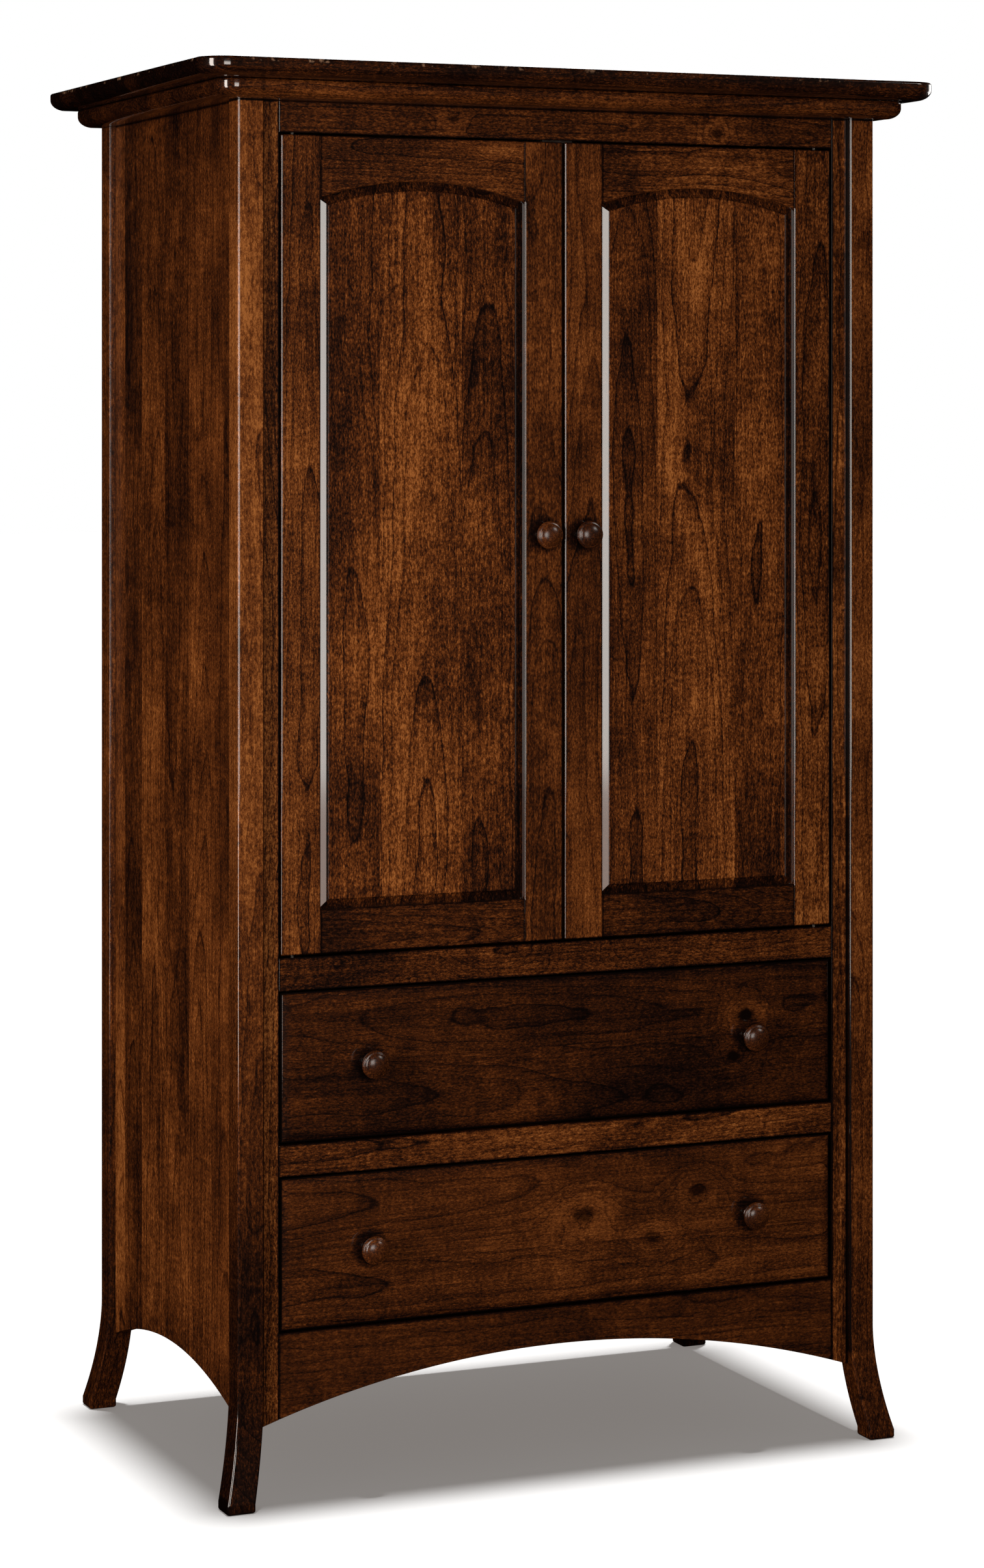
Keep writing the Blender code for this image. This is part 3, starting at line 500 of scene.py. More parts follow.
TURNED_FINISH = (((900,) * 3, 3.0, 0.7), ((40,) * 3, 3.0, 0.6), (0.22, 0.38), 0.15, 1.0)
MOULDED_FINISH = (((1500,) * 3, 2.0, 0.6), ((60,) * 3, 2.0), (0.42, 0.58), 0.3)
STEEL = plain_material("nickel_steel", (0.50, 0.47, 0.43), (0.66, 0.64, 0.60), *TURNED_FINISH)
BLACK_STEEL = plain_material("blackened_steel", (0.020, 0.017, 0.015), (0.040, 0.035, 0.030), *TURNED_FINISH)
PLASTIC = plain_material("brown_plastic", (0.045, 0.028, 0.020), (0.065, 0.042, 0.030), *MOULDED_FINISH)

# ---- mesh helpers


def spread(first, last, steps):
    """Evenly spaced values from first to last."""
    return [first + (last - first) * step / steps for step in range(steps + 1)]


def arc(start, steps):
    """Pairs of (cosine, sine) over a quarter turn that starts at an angle in degrees."""
    turns = [math.radians(angle) for angle in spread(start, start + 90, steps)]
    return [(math.cos(turn), math.sin(turn)) for turn in turns]


def quarter(steps):
    """Pairs of (1 - cosine, sine) over a quarter turn."""
    return [(1 - cosine, sine) for cosine, sine in arc(0, steps)]


def eased_turn(easing, backwards=False):
    """Offsets (from the face, from the side) over the quarter turn of an eased arris."""
    turn = [(easing * inward, easing * (1 - outward)) for inward, outward in quarter(EASED_STEPS)]
    return reversed(turn) if backwards else turn


def arch_at(place, crown, radius):
    """Height of a round arch at a distance from its middle."""
    return crown - radius + math.sqrt(radius ** 2 - place ** 2)


def loft(rings, closed=True, creases=(), shaded=()):
    """Bridges rings of equally many points and closes both ends.

    creases are the points whose lines from ring to ring stay sharp. An open ring also gets a face along
    its open side. The faces that start at the rings numbered in shaded take the piece's second material.
    """
    bm = bmesh.new()
    rows = [[bm.verts.new(point) for point in ring] for ring in rings]
    count = len(rings[0])
    spans = count if closed else count - 1
    for number, (lower, upper) in enumerate(zip(rows, rows[1:])):
        for index in range(spans):
            after = (index + 1) % count
            face = bm.faces.new((lower[index], lower[after], upper[after], upper[index]))
            face.material_index = 1 if number in shaded else 0
        for index in creases:
            bm.edges.get((lower[index], upper[index])).smooth = False
    bm.faces.new(list(reversed(rows[0])))
    bm.faces.new(rows[-1])
    if not closed:
        bm.faces.new([row[0] for row in rows] + [row[-1] for row in reversed(rows)])
    bmesh.ops.recalc_face_normals(bm, faces=bm.faces)
    return bm


def plate(outline, axes, start, end):
    """Flat piece from an outline along two world axes, reaching from start to end along the third."""
    order = [axes.find(letter) for letter in "xyz"]  # -1, which takes the level, for the third axis
    rings = [[[(*point, level)[number] for number in order] for point in outline] for level in (start, end)]
    return loft(rings)


def box(low, high):
    """Box between two corners."""
    outline = [(low[0], low[1]), (high[0], low[1]), (high[0], high[1]), (low[0], high[1])]
    return plate(outline, "xy", low[2], high[2])


def cad_copy(node):
    """The node's own solid with its triangles joined into flat faces."""
    bm = bmesh.new()
    bm.from_mesh(frame["nodes"][node].data)
    bmesh.ops.remove_doubles(bm, verts=bm.verts, dist=0.00001)
    bmesh.ops.dissolve_limit(bm, angle_limit=math.radians(1), verts=bm.verts, edges=bm.edges)
    return bm


def turned(profile, centre, axis, steps=TURNED_STEPS):
    """Turns a profile of (radius, height) round an axis through centre. It starts and ends on the axis."""
    axis = Vector(axis).normalized()
    side = axis.orthogonal().normalized()
    other = axis.cross(side)
    centre = Vector(centre)
    rings = []
    for radius, height in profile:
        radius = max(radius, LEAST_RADIUS)
        middle = centre + axis * height
        angles = [2 * math.pi * step / steps for step in range(steps)]
        rings.append([middle + (side * math.cos(turn) + other * math.sin(turn)) * radius for turn in angles])
    return loft(rings)


def between(a, b, c, d, t):
    """Value a share t of the way from b to c on a smooth curve through a, b, c and d."""
    bend = (2 * a - 5 * b + 4 * c - d) * t ** 2
    twist = (3 * b - a - 3 * c + d) * t ** 3
    return 0.5 * (2 * b + (c - a) * t + bend + twist)


def curve_through(points, steps):
    """Smooth curve through points of (radius, height)."""
    ends = (points[0], *points, points[-1])
    curve = []
    for before, first, second, after in zip(ends, ends[1:], ends[2:], ends[3:]):
        for step in range(steps):
            share = step / steps
            curve.append(tuple(between(*values, share) for values in zip(before, first, second, after)))
    return [*curve, points[-1]]


def add_object(name, data):
    """Adds an object to the scene."""
    made = bpy.data.objects.new(name, data)
    SCENE.collection.objects.link(made)
    return made


def show(bm, node, materials, eased=0.0, sharp=32.0):
    """Makes the mesh a piece that stands for a CAD node and rides on its body.

    With eased it rounds the edges that turn by more than sharp degrees, and the rounded faces take the
    last material. Without it those edges stay sharp.
    """
    mesh = bpy.data.meshes.new(node + "_shown")
    bm.normal_update()
    bm.to_mesh(mesh)
    bm.free()
    piece = add_object(node + "_shown", mesh)
    for material in materials:
        mesh.materials.append(material)
    mesh.shade_smooth()
    if eased:
        rounding = piece.modifiers.new("eased", "BEVEL")
        rounding.width = eased
        rounding.segments = EASED_STEPS
        rounding.limit_method = "ANGLE"
        rounding.angle_limit = math.radians(sharp)
        rounding.harden_normals = True
        rounding.material = len(materials) - 1
    else:
        creased = [edge.index for edge in mesh.edges if edge.use_edge_sharp]
        mesh.set_sharp_from_angle(angle=math.radians(sharp))
        for index in creased:
            mesh.edges[index].use_edge_sharp = True
        weighting = piece.modifiers.new("flat_faces_stay_flat", "WEIGHTED_NORMAL")
        weighting.keep_sharp = True
    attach(piece, BODY_OF[node])
    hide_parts(node)
    PIECES.append(piece)


def woods(node, board, colours=CHERRY, border=False, **settings):
    """The materials of a piece: its wood and, for a moulded border, the same wood darker, as painted shade.
    """
    seed = next(SEEDS)
    made = [wood_material(node + "_wood", colours, board, node, seed, **settings)]
    if border:
        # Darker copy of the wood for the moulded border: painted shade.
        made.append(wood_material(node + "_border", colours, board, node, seed, shade=BORDER_SHADE))
    return made


def show_cherry(bm, node, board, eased=0.0, sharp=32.0, **settings):
    """Makes the mesh a piece of stained cherry, cut as its board says."""
    show(bm, node, woods(node, board, **settings), eased, sharp)


def show_maple(node, axes, tone, pith, slope):
    """Makes the node's own solid a piece of plain maple."""
    board = Board(axes, tone, pith, slope, contrast=0.6, seam=0.15)
    materials = woods(node, board, MAPLE, gloss=0.50, coat=0.0)
    show(cad_copy(node), node, materials, PLAIN_EASED)


# ---- top boards


def moulded_board(node, corner, board):
    """Board with a round-over above and an ovolo below along its front and sides, sawn flat at the back."""
    low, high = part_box(node)
    levels = []
    for inward, outward in reversed(quarter(CURVE_STEPS)):
        levels.append((OVOLO_REACH * inward, low.z + OVOLO_RISE * (1 - outward)))
    for inward, outward in quarter(ROUND_STEPS):
        levels.append((ROUND_OVER * inward, high.z - ROUND_OVER * (1 - outward)))
    rings = []
    for inset, level in levels:
        radius = max(corner - inset, LEAST_CORNER)
        left, right, front = low.x + inset, high.x - inset, low.y + inset
        ring = [(left, high.y, level)]
        for centre, start in ((left + radius, 180), (right - radius, 270)):
            for cosine, sine in arc(start, CORNER_STEPS):
                ring.append((centre + radius * cosine, front + radius * (1 + sine), level))
        ring.append((right, high.y, level))
        rings.append(ring)
    show_cherry(loft(rings, closed=False), node, board, sharp=40)


def build_top():
    """The top board and the narrower board under it."""
    glued = ((0.0, -0.02, 0.12), (0.24, 0.03, 0.36), (0.49, -0.04, 0.62), (0.75, 0.01, 0.88))
    # Painted shade darkens the left end of both boards.
    common = {"strips": glued, "seam": 0.0, "contrast": 0.8, "painted_shade_fades": ((0.04, 0.14),)}
    pith = (0.0, -0.05)
    moulded_board("top_board", TOP_CORNER, Board("yzx", -0.30, pith, 0.02, worn=0.8, **common))
    moulded_board("sub_top_board", SUB_TOP_CORNER, Board("yzx", -0.08, pith, 0.02, **common))


# ---- legs and sides


def foot_flare(height):
    """How far the foot stands out at a height above the floor."""
    share = (FLARE_TOP - height) / (FLARE_TOP - TOE_HEIGHT)
    return FOOT_FLARE * min(max(share, 0.0), 1.0) ** FLARE_POWER


def rounded_square(size, radius):
    """Outline of a square with round corners, round the origin."""
    inner = size / 2 - radius
    points = []
    for corner, (sign_x, sign_y) in enumerate(((1, 1), (-1, 1), (-1, -1), (1, -1))):
        for cosine, sine in arc(corner * 90, ROUND_STEPS):
            points.append((sign_x * inner + radius * cosine, sign_y * inner + radius * sine))
    return points


def build_leg(node, board, coat=1.0):
    """Square post with rounded arrises, whose foot kicks outwards in a smooth curve."""
    low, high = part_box(node)
    side = 1 if low.x > 0 else -1
    end = 1 if low.y > 0 else -1
    centre_x = (high.x if side > 0 else low.x) - side * FOOT_FLARE - side * LEG / 2
    centre_y = (high.y if end > 0 else low.y) - end * FOOT_FLARE - end * LEG / 2
    levels = list(eased_turn(LEG_ROUNDING, True))
    levels += [(0.0, level) for level in spread(TOE_HEIGHT, FLARE_TOP + 0.01, FLARE_STEPS)]
    levels += [(0.0, high.z)]
    rings = []
    for inset, level in levels:
        flare = foot_flare(level)
        ring = []
        for across, deep in rounded_square(LEG - 2 * inset, LEG_ROUNDING):
            share_x = INNER_FLARE + (1 - INNER_FLARE) * (0.5 + side * across / LEG)
            share_y = INNER_FLARE + (1 - INNER_FLARE) * (0.5 + end * deep / LEG)
            place_x = centre_x + across + side * flare * share_x
            ring.append((place_x, centre_y + deep + end * flare * share_y, level))
        rings.append(ring)
    show_cherry(loft(rings), node, board, sharp=50, coat=coat)


def build_side(node, board):
    """Glued-up side panel with an arch cut in its lower edge."""
    low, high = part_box(node)
    middle = (low.y + high.y) / 2
    outline = [(high.y, high.z), (low.y, high.z)]
    for place in spread(low.y, high.y, ARCH_STEPS):
        outline.append((place, arch_at(place - middle, SIDE_ARCH_CROWN, SIDE_ARCH_RADIUS)))
    bm = plate(outline, "yz", low.x, high.x)
    show_cherry(bm, node, board, FRAME_EASED, coat=0.12, coat_roughness=0.15)


def build_carcase():
    """Four legs and two side panels."""
    # The front legs get a strong dark edge line: painted shade in the gaps beside them.
    front = {"contrast": 0.8, "seam": 0.8}
    # Painted shade: the left front leg darkens towards the floor and under the top, the right one towards the
    # floor.
    painted_shade_fades = ((1.0, 0.52), (-0.28, 0.16))
    build_leg("leg_front_left", Board("xyz", 0.19, (0.03, 0.05), 0.01, 0.006, painted_shade_fades=painted_shade_fades, **front))
    painted_shade_fades = ((0.6, 0.20),)
    build_leg("leg_front_right", Board("xyz", 0.05, (-0.04, 0.05), 0.012, 0.006, painted_shade_fades=painted_shade_fades, **front))
    # Painted shade darkens the back legs towards the floor.
    painted_shade_fades = ((1.0, 0.34),)
    for node in ("leg_back_left", "leg_back_right"):
        board = Board("yxz", -0.01, (0.05, 0.05), 0.015, 0.006, contrast=0.8, seam=0.0, painted_shade_fades=painted_shade_fades)
        build_leg(node, board, coat=0.45)
    strips = (
        (0.0, 0.02, 0.09), (0.18, 0.08, 0.27), (0.36, -0.07, 0.46),
        (0.56, 0.05, 0.66), (0.76, -0.07, 0.84), (0.91, 0.18, 0.96),
    )
    # Painted light and shade on the side panels: lighter lower down, darker at the bottom edge and under the
    # top.
    painted_shade_fades = ((1.6, -0.13), (0.14, 0.18), (-0.18, 0.10))
    for node, depth in (("side_panel_left", 0.06), ("side_panel_right", -0.06)):
        build_side(node, Board("yxz", -0.125, (0.0, depth), 0.015, strips=strips, contrast=0.85, painted_shade_fades=painted_shade_fades))


# ---- face frame


def arched_plate(node, steps):
    """Flat part of the face frame, whose lower end follows the arch between the front legs."""
    low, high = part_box(node)
    outline = [(high.x, high.z), (low.x, high.z)]
    for place in spread(low.x, high.x, steps):
        outline.append((place, arch_at(place, FRONT_ARCH_CROWN, FRONT_ARCH_RADIUS)))
    return plate(outline, "xz", low.y, high.y)


def build_face_frame():
    """Stiles, rails and the arched apron."""
    for node, tone, coat in (("face_stile_left", 0.02, 1.0), ("face_stile_right", -0.05, 0.25)):
        board = Board("xyz", tone, (0.05, 0.05), 0.01, 0.006, seam=0.6)
        show_cherry(arched_plate(node, 8), node, board, STILE_EASED, coat=coat)
    rails = {
        "top_rail": Board(
            "zyx", -0.16, (0.0, 0.02), 0.01, 0.006, contrast=0.8,
            knots=((0.004, -0.165, 0.0055, 0.7), (-0.004, 0.235, 0.0065, 0.8)),
        ),
        "middle_rail": Board(
            "zyx", -0.11, (0.01, 0.03), 0.02, 0.005, contrast=0.9,
            knots=(
                (0.012, -0.335, 0.012, 0.0), (-0.010, -0.22, 0.010, 0.0),
                (0.016, 0.02, 0.013, 0.0), (-0.014, 0.17, 0.012, 0.0),
            ),
        ),
        "drawer_rail": Board("zyx", 0.01, (0.03, 0.04), 0.012, 0.006, contrast=0.85),
    }
    for node, board in rails.items():
        show_cherry(box(*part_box(node)), node, board, FRAME_EASED)
    board = Board("zyx", -0.10, (0.05, 0.05), 0.01, 0.007, contrast=0.55)
    show_cherry(arched_plate("arched_apron", ARCH_STEPS), "arched_apron", board, PLAIN_EASED)


# ---- doors


def grooved_section(front, back, outer, inner, inset=0.0, inner_easing=EASED):
    """Section of a door frame member as (depth, across) points, with a groove in its inner edge."""
    way = 1 if inner > outer else -1
    near, far = front + inset, back - inset
    rim_outer, rim_inner = outer + way * inset, inner - way * inset
    easing = max(EASED - inset, JOINT_EASED)
    inner_easing = max(inner_easing - inset, JOINT_EASED)
    points = [(near + one, rim_outer + way * two) for one, two in eased_turn(easing)]
    points += [(far - one, rim_outer + way * two) for one, two in eased_turn(easing, True)]
    points += [(far - one, rim_inner - way * two) for one, two in eased_turn(inner_easing)]
    groove_front = front + TONGUE_SETBACK - GROOVE_PLAY
    groove_back = front + TONGUE_SETBACK + TONGUE_THICK + GROOVE_PLAY
    deep = inner - way * (TONGUE_DEPTH + GROOVE_PLAY)
    points += [(groove_back, rim_inner), (groove_back, deep), (groove_front, deep), (groove_front, rim_inner)]
    points += [(near + one, rim_inner - way * two) for one, two in eased_turn(inner_easing, True)]
    return points


def build_stile(node, panel, board):
    """Upright member of a door. Its inner arris is eased along the panel, and tight against the rails."""
    low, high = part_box(node)
    _, half, opening_bottom, crown, radius = door_arch(panel)
    spring = arch_at(half, crown, radius)
    outer, inner = (high.x, low.x) if low.x > 0 else (low.x, high.x)
    if "knob" in node:
        outer, inner = inner, outer
    levels = [(one, low.z + two, JOINT_EASED) for one, two in eased_turn(EASED, True)]
    levels += [(0.0, opening_bottom - EASED, JOINT_EASED), (0.0, opening_bottom, EASED)]
    levels += [(0.0, spring, EASED), (0.0, spring + EASED, JOINT_EASED)]
    levels += [(one, high.z - two, JOINT_EASED) for one, two in eased_turn(EASED)]
    rings = []
    for inset, level, inner_easing in levels:
        section = grooved_section(low.y, high.y, outer, inner, inset, inner_easing)
        rings.append([(across, depth, level) for depth, across in section])
    show_cherry(loft(rings), node, board, sharp=45)


def build_bottom_rail(node, board):
    """Lower member of a door, grooved along its upper edge."""
    low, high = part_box(node)
    rings = []
    for place in (low.x, high.x):
        rings.append([(place, *point) for point in grooved_section(low.y, high.y, low.z, high.z)])
    show_cherry(loft(rings), node, board, sharp=45)


def door_arch(panel):
    """Middle, half-width, lower edge, crown height and crown radius of a door's arched opening."""
    low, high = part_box(panel)
    middle = (low.x + high.x) / 2
    half = (high.x - low.x) / 2 - TONGUE_DEPTH
    crown = high.z - TONGUE_DEPTH
    radius = (half ** 2 + DOOR_ARCH_RISE ** 2) / (2 * DOOR_ARCH_RISE)
    return middle, half, low.z + TONGUE_DEPTH, crown, radius


def build_arched_rail(node, panel, board):
    """Upper member of a door, with an arched and grooved lower edge."""
    low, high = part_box(node)
    middle, _, _, crown, radius = door_arch(panel)
    rings = []
    for place in spread(low.x, high.x, ARCH_STEPS // 2):
        edge = arch_at(place - middle, crown, radius)
        rings.append([(place, *point) for point in grooved_section(low.y, high.y, high.z, edge)])
    show_cherry(loft(rings), node, board, sharp=45)


def panel_ring(panel, grow, depth):
    """Outline of a door's arched opening, grown evenly all round, at a depth."""
    middle, half, bottom, crown, radius = door_arch(panel)
    half += grow
    centre = crown - radius
    ring = [(middle - half, depth, bottom - grow), (middle + half, depth, bottom - grow)]
    for place in spread(half, -half, ARCH_STEPS // 2):
        ring.append((middle + place, depth, centre + math.sqrt((radius + grow) ** 2 - place ** 2)))
    return ring


def build_panel(node, board):
    """Raised panel: a tongue all round, a sloping hollow border, a small step and a flat field."""
    low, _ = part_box(node)
    tongue = low.y + RAISE_HEIGHT + FIELD_STEP
    back = tongue + TONGUE_THICK
    levels = [
        (TONGUE_DEPTH - TONGUE_BACK_EASED, back),
        (TONGUE_DEPTH, back - TONGUE_BACK_EASED),
        (TONGUE_DEPTH, tongue + TONGUE_FRONT_EASED),
        (TONGUE_DEPTH - TONGUE_FRONT_EASED, tongue),
        (0.0, tongue),
    ]
    for share in spread(0, 1, CURVE_STEPS)[1:]:
        climb = (1 - HOLLOW) * share + HOLLOW * share ** HOLLOW_POWER
        levels.append((-RAISE_WIDTH * share, tongue - RAISE_HEIGHT * climb))
    edge = RAISE_WIDTH + STEP_SLOPE
    levels.append((-edge, low.y + FIELD_ROUNDING))
    for inward, outward in quarter(4)[1:]:
        levels.append((-edge - FIELD_ROUNDING * inward, low.y + FIELD_ROUNDING * (1 - outward)))
    rings = [panel_ring(node, grow, depth) for grow, depth in levels]
    creases = (0, 1, 2, ARCH_STEPS // 2 + 2)
    # The sloping border takes the darker wood, as painted shade.
    border = range(2, 4 + CURVE_STEPS)
    show_cherry(loft(rings, creases=creases, shaded=border), node, board, sharp=24, border=True, coat=0.5)


# Radius and height of points on a knob's outline, from its face to its foot.
KNOB_POINTS = (
    (0.0000, 0.0300), (0.0050, 0.0297), (0.0100, 0.0285), (0.0138, 0.0266),
    (0.0152, 0.0252), (0.0162, 0.0247), (0.0178, 0.0240), (0.0190, 0.0222),
    (0.0192, 0.0200), (0.0184, 0.0178), (0.0160, 0.0160), (0.0115, 0.0140),
    (0.0085, 0.0112), (0.0076, 0.0080), (0.0078, 0.0045), (0.0090, 0.0015),
    (0.0098, 0.0004), (0.0098, 0.0000),
)


def build_knob(node):
    """Turned mushroom knob with a domed face and a rim."""
    low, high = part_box(node)
    centre = ((low.x + high.x) / 2, high.y, (low.z + high.z) / 2)
    profile = curve_through(KNOB_POINTS, KNOB_STEPS) + [(0.0, 0.0)]
    board = Board("xzy", -0.11, (0.006, 0.004), 0.03, 0.0022, contrast=0.6, seam=0.0)
    materials = woods(node, board, gloss=0.34, coat=0.55, coat_roughness=0.24, relief=0.0)
    show(turned(profile, centre, (0.0, -1.0, 0.0)), node, materials, sharp=60)


def rod_profile(radius, length, chamfer):
    """Profile of a round rod with chamfered ends."""
    start = [(0.0, 0.0), (radius - chamfer, 0.0), (radius, chamfer)]
    return start + [(radius, length - chamfer), (radius - chamfer, length), (0.0, length)]


def build_pin(node):
    """Steel pivot pin with chamfered ends."""
    low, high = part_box(node)
    radius = (high.x - low.x) / 2
    profile = rod_profile(radius, high.z - low.z, radius * PIN_CHAMFER)
    centre = ((low.x + high.x) / 2, (low.y + high.y) / 2, low.z)
    show(turned(profile, centre, (0.0, 0.0, 1.0), PIN_STEPS), node, [BLACK_STEEL], sharp=30)


def build_doors():
    """Two arched frame-and-panel doors."""
    strips = ((0.0, -0.07, 0.15), (0.30, 0.07, 0.48), (0.68, -0.02, 0.80))
    for word, side in (("left", -1), ("right", 1)):
        start = f"door_{word}_"
        panel = start + "panel"
        # Painted light: the hinge stiles grow lighter towards the floor.
        board = Board("xyz", -side * 0.05, (-side * 0.01, 0.035), 0.02, 0.007, painted_shade_fades=((0.6, -0.08),))
        build_stile(start + "hinge_stile", panel, board)
        # Painted shadow round the knob on the knob stile.
        knob_shadows = knob_shadow_places(start + "knob_stile", "xyz", [start + "knob"])
        board = Board("xyz", -0.02, (side * 0.01, 0.03), 0.025, 0.008, contrast=0.75, knob_shadows=knob_shadows)
        build_stile(start + "knob_stile", panel, board)
        build_bottom_rail(start + "bottom_rail", Board("zyx", -0.17, (0.0, 0.03), 0.02, 0.006, contrast=0.8))
        board = Board("zyx", -0.04, (0.02, 0.04), 0.02, 0.007, contrast=0.85)
        build_arched_rail(start + "arched_rail", panel, board)
        # Painted shade round the panel's edges, and painted light towards its foot.
        edges = {"rim": (0.035, 0.12), "painted_shade_fades": ((0.5, -0.03),)}
        build_panel(panel, Board("xyz", -0.02, (0.0, 0.04), 0.022, 0.009, strips=strips, **edges))
        build_pin(start + "top_pin")
        build_pin(start + "bottom_pin")
        build_knob(start + "knob")


# ---- drawers


def build_drawer_front(node, board):
    """Drawer front with a lip, a quirk and a thumbnail curve up to its flat field."""
    low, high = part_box(node)
    lip = low.y + LIP_DEPTH

    def ring(inset, depth):
        left, right, bottom, top = low.x + inset, high.x - inset, low.z + inset, high.z - inset
        return [(left, depth, bottom), (right, depth, bottom), (right, depth, top), (left, depth, top)]

    rings = [ring(LIP_BACK_EASED, high.y), ring(0.0, high.y - LIP_BACK_EASED)]
    rings += [ring(one, lip + two) for one, two in eased_turn(LIP_EASED)]
    start = LIP_WIDTH + STEP_SLOPE
    rings += [ring(LIP_WIDTH, lip), ring(start, lip - QUIRK)]
    # The lip and quirk take the darker wood, as painted shade.
    border = range(0, len(rings) - 2)
    rise = LIP_DEPTH - QUIRK
    for inward, outward in quarter(CURVE_STEPS)[1:]:
        rings.append(ring(start + THUMBNAIL_WIDTH * inward, lip - QUIRK - rise * outward))
    show_cherry(loft(rings, creases=range(4), shaded=border), node, board, sharp=24, border=True)


def build_drawers():
    """Two drawers: moulded fronts, grooved sides, backs, thin bottoms and knobs."""
    # Painted shade round the edges of both fronts; the upper front is also painted lighter towards its left
    # end.
    fronts = {
        "upper": Board(
            "zyx", -0.22, (0.0, 0.05), 0.008, 0.007, contrast=0.7, rim=(0.018, 0.12), painted_shade_fades=((0.9, -0.06),),
            strips=((0.0, -0.02, 0.2), (0.52, 0.02, 0.75)),
            knots=((0.030, 0.282, 0.009, 1.0), (-0.027, 0.262, 0.008, 1.0)),
        ),
        "lower": Board(
            "zyx", -0.03, (0.02, 0.05), 0.010, 0.008, contrast=0.7, rim=(0.018, 0.12),
            strips=((0.0, -0.02, 0.2), (0.40, 0.03, 0.75)),
            knots=((0.018, 0.030, 0.011, 0.75), (0.040, 0.205, 0.0095, 0.8), (-0.020, 0.135, 0.009, 0.6)),
        ),
    }
    for word, board in fronts.items():
        start = f"drawer_{word}_"
        # Painted shadows round the two knobs on the front.
        board.knob_shadows = knob_shadow_places(start + "front", board.axes, [start + "left_knob", start + "right_knob"])
        build_drawer_front(start + "front", board)
        for part, axes in (("left_side", "zxy"), ("right_side", "zxy"), ("back", "zyx"), ("bottom", "yzx")):
            show_maple(start + part, axes, 0.0, (0.0, 0.05), 0.02)
        build_knob(start + "left_knob")
        build_knob(start + "right_knob")


# ---- inside of the case


def build_inside():
    """Back, floors, shelf, cleats, runners, hanging rod with its cups, and the door catch."""
    plain = {"back_panel": "xyz", "back_top_rail": "zyx", "back_bottom_rail": "zyx", "case_bottom": "yzx"}
    for part in ("shelf_cleat", "upper_runner", "lower_runner"):
        plain.update({part + "_left": "zxy", part + "_right": "zxy"})
    for node, axes in plain.items():
        show_maple(node, axes, -0.02, (0.0, 0.06), 0.015)
    glued = ((0.0, -0.02, 0.12), (0.30, 0.03, 0.42), (0.60, -0.03, 0.80))
    for node in ("wardrobe_floor", "hat_shelf"):
        board = Board("yzx", 0.0, (0.0, 0.05), 0.015, 0.0045, strips=glued)
        show_cherry(cad_copy(node), node, board, SHELF_EASED)

    low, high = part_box("clothes_rod")
    profile = rod_profile((high.z - low.z) / 2, high.x - low.x, ROD_CHAMFER)
    centre = (low.x, (low.y + high.y) / 2, (low.z + high.z) / 2)
    bm = turned(profile, centre, (1.0, 0.0, 0.0))
    show_cherry(bm, "clothes_rod", Board("yzx", 0.0, (0.02, 0.02), 0.01, 0.004), sharp=30)
    build_cup("rod_cup_left", -1)
    build_cup("rod_cup_right", 1)
    show(box(*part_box("door_catch")), "door_catch", [PLASTIC], CATCH_EASED)


def build_cup(node, side):
    """Turned steel cup that holds one end of the rod."""
    low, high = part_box(node)
    radius = (high.z - low.z) / 2
    depth = high.x - low.x
    back = high.x if side > 0 else low.x
    bore, neck = ROD_BORE, ROD_BORE + CUP_WALL
    rim, ease = 0.001, 0.0006
    flange = [(0.0, 0.0), (radius - rim, 0.0), (radius, rim), (radius, depth * 0.35)]
    outside = [(radius - 0.002, depth * 0.5), (neck, depth * 0.62), (neck, depth - rim), (neck - rim, depth)]
    inside = [(bore + ease, depth), (bore, depth - ease), (bore, CUP_WALL), (0.0, CUP_WALL)]
    centre = (back, (low.y + high.y) / 2, (low.z + high.z) / 2)
    bm = turned(flange + outside + inside, centre, (-side, 0.0, 0.0), CUP_STEPS)
    show(bm, node, [STEEL], sharp=30)


# ---- floor, light and camera

FLOOR_REACH = 40.0
FLOOR_LOOKS = {
    "Base Color": (0.35, 0.35, 0.35, 1.0),
    "Roughness": 0.9,
    "Specular IOR Level": 0.0,
    "Emission Color": (1.0, 0.92, 0.87, 1.0),
    "Emission Strength": 0.20,
}
# Light from around, at heights from straight below (0) to straight above (1).
SKY = ((0.44, 0.06), (0.56, 0.24), (0.68, 0.28), (0.95, 0.12))
SKY_COLOUR = (1.0, 0.98, 0.95, 1.0)

CEILING_STRENGTH = 7.8
CEILING_WIDTH = 3.4  # degrees
CEILING_LEAN = (-0.3, 0.35)  # degrees

CAMERA_PLACE = (-2.2246, -5.1765, 1.4626)
CAMERA_TURN = -23.31  # degrees from straight in front
CAMERA_LENS = 89.57
CAMERA_SHIFT = -0.2374


def build_floor():
    """Plain pale floor that glows a little."""
    bm = bmesh.new()
    bmesh.ops.create_grid(bm, x_segments=1, y_segments=1, size=FLOOR_REACH)
    mesh = bpy.data.meshes.new("floor")
    bm.to_mesh(mesh)
    bm.free()
    floor = add_object("floor", mesh)
    mesh.materials.append(new_material("pale_floor", FLOOR_LOOKS)[0])
    floor.visible_glossy = False
    floor.visible_diffuse = False
    return floor


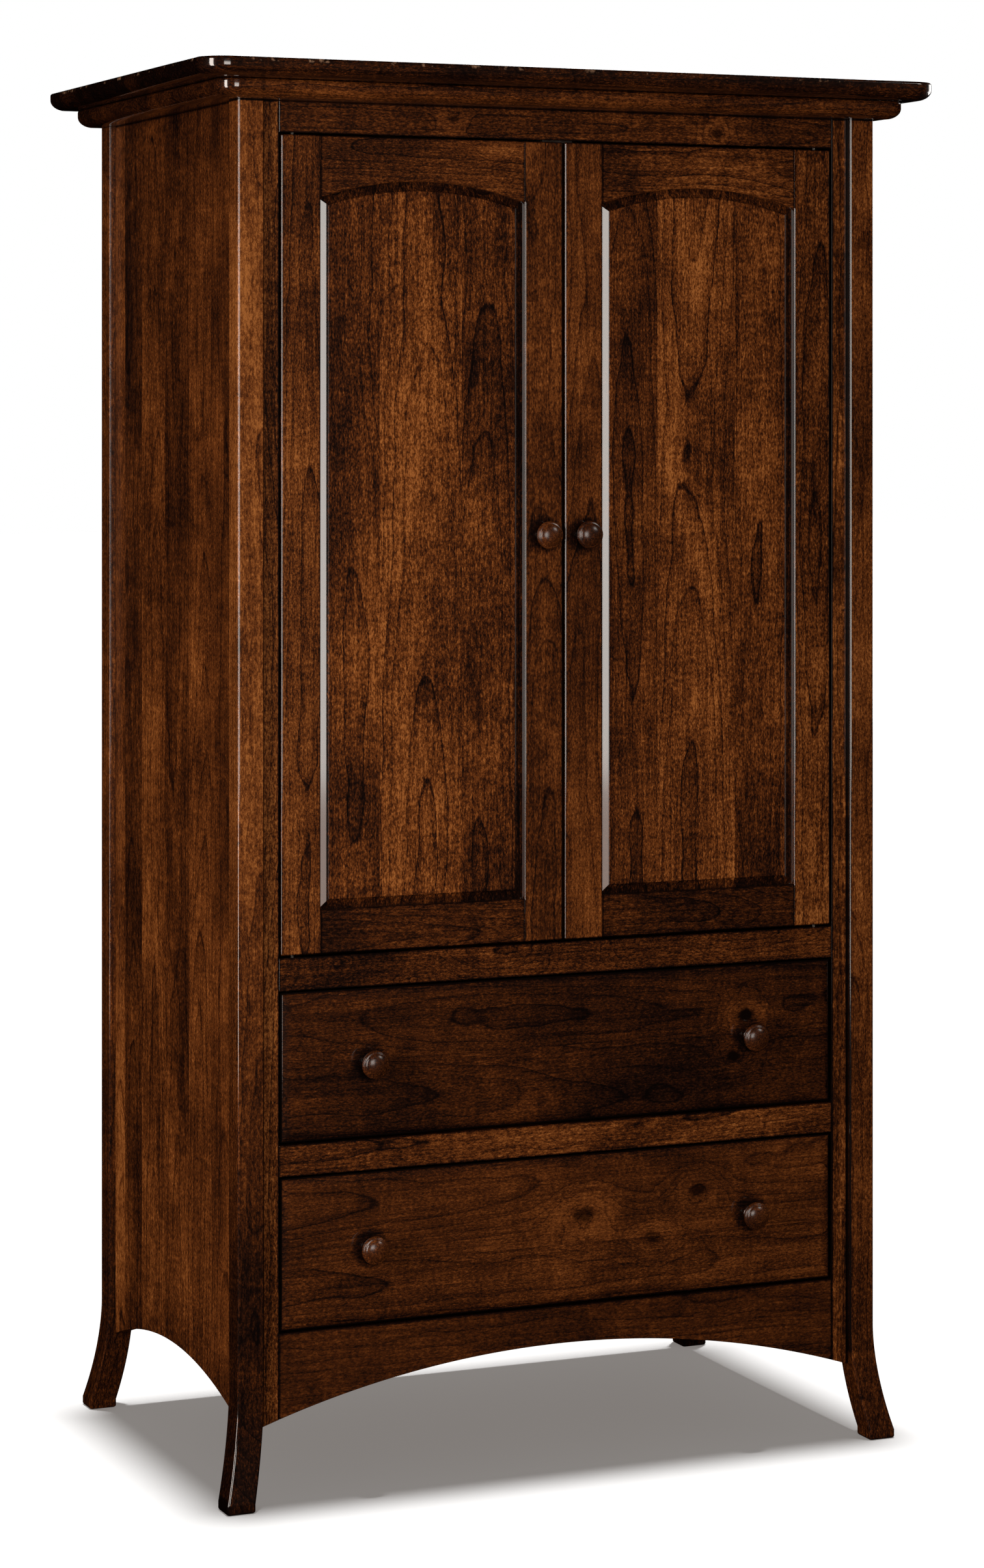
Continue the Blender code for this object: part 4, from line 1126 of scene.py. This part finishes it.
def build_world():
    """White surroundings for the camera, and a softer light all round for the object."""
    world = bpy.data.worlds.new("studio")
    world.use_nodes = True
    SCENE.world = world
    tree = Tree(world.node_tree)
    tree.tree.nodes.clear()
    white = tree.node("ShaderNodeBackground", {"Color": (1.0, 1.0, 1.0, 1.0), "Strength": 1.0})
    direction = tree.node("ShaderNodeSeparateXYZ", {0: tree.node("ShaderNodeTexCoord").outputs["Generated"]})
    stops = [(height, (strength,) * 3) for height, strength in SKY]
    glow = tree.ramp(tree.map_range(direction.outputs[2], -1.0, 1.0), stops)
    soft = tree.node("ShaderNodeBackground", {"Color": SKY_COLOUR, "Strength": glow})
    seen = tree.node("ShaderNodeLightPath").outputs["Is Camera Ray"]
    mixed = tree.node("ShaderNodeMixShader", {0: seen, 1: soft.outputs[0], 2: white.outputs[0]})
    tree.node("ShaderNodeOutputWorld", {0: mixed.outputs[0]})
    world.cycles_visibility.glossy = False


def gather(name, objects):
    """Collection of these objects, for light linking."""
    collection = bpy.data.collections.new(name)
    for member in objects:
        collection.objects.link(member)
    return collection


def add_softbox(name, place, aim, width, height, radiance, colour, pieces):
    """Rectangular softbox that lights these pieces, and whose surface has the given radiance."""
    light = bpy.data.lights.new(name, "AREA")
    light.shape = "RECTANGLE"
    light.size = width
    light.size_y = height
    light.energy = radiance * math.pi * width * height
    light.color = colour
    lamp = add_object(name, light)
    lamp.location = place
    lamp.rotation_euler = (Vector(aim) - Vector(place)).to_track_quat("-Z", "Y").to_euler()
    lamp.visible_camera = False
    lamp.light_linking.receiver_collection = gather(name + "_lights", pieces)


def shown_for(*nodes):
    """The pieces that stand for these nodes."""
    return [piece for piece in PIECES if piece.name.removesuffix("_shown") in nodes]


def build_lights(floor):
    """Softboxes all round for the armoire, and a ceiling light for the floor."""
    keyed = [piece for piece in PIECES if piece.name.endswith(("knob_shown", "top_board_shown"))]
    low_lit = shown_for("door_left_panel", "door_right_panel", "side_panel_left")
    right_lit = shown_for("side_panel_right", "leg_front_right", "leg_back_right", "top_board")
    for softbox in (
        # name, place, aim, width, height, radiance, colour, pieces that it lights
        ("front_left_box", (-0.86, -4.4, 1.4), (-0.1, -0.3, 1.4), 1.72, 1.7, 8.2, (1.0, 0.93, 0.87), PIECES),
        ("low_box", (-0.86, -4.4, 0.30), (-0.1, -0.3, 0.30), 1.72, 0.5, 4.2, (1.0, 0.77, 0.67), low_lit),
        ("right_key", (2.9, -3.0, 3.3), (0.0, -0.3, 1.10), 1.1, 1.0, 9.0, (1.0, 0.96, 0.90), keyed),
        ("left_side_box", (-3.2, -1.5, 1.28), (-0.5, -0.2, 1.0), 0.8, 2.5, 14.5, (1.0, 0.89, 0.81), PIECES),
        ("right_fill", (3.6, 1.0, 1.7), (0.5, 0.1, 0.9), 1.6, 2.0, 5.0, (1.0, 0.96, 0.92), right_lit),
        ("back_fill", (1.8, 4.0, 2.6), (0.2, 0.3, 1.0), 2.0, 1.6, 5.0, (1.0, 1.0, 1.0), PIECES),
    ):
        add_softbox(*softbox)
    ceiling = bpy.data.lights.new("ceiling", "SUN")
    ceiling.energy = CEILING_STRENGTH
    ceiling.angle = math.radians(CEILING_WIDTH)
    lamp = add_object("ceiling", ceiling)
    lamp.rotation_euler = (*map(math.radians, CEILING_LEAN), 0.0)
    lamp.light_linking.receiver_collection = gather("ceiling_lights", [floor])
    shading = [piece for piece in PIECES if piece.name != "top_board_shown"]
    lamp.light_linking.blocker_collection = gather("ceiling_shadow", shading)


def build_camera():
    """Level camera in front and to the left, with a vertical shift."""
    camera = bpy.data.cameras.new("camera")
    camera.lens = CAMERA_LENS
    camera.shift_y = CAMERA_SHIFT
    camera.dof.use_dof = False
    holder = add_object("camera", camera)
    holder.location = CAMERA_PLACE
    holder.rotation_euler = (math.radians(90.0), 0.0, math.radians(CAMERA_TURN))
    SCENE.camera = holder


# ---- the armoire

build_top()
build_carcase()
build_face_frame()
build_doors()
build_drawers()
build_inside()
FLOOR = build_floor()
build_world()
build_lights(FLOOR)
build_camera()
SCENE.view_settings.view_transform = "Standard"
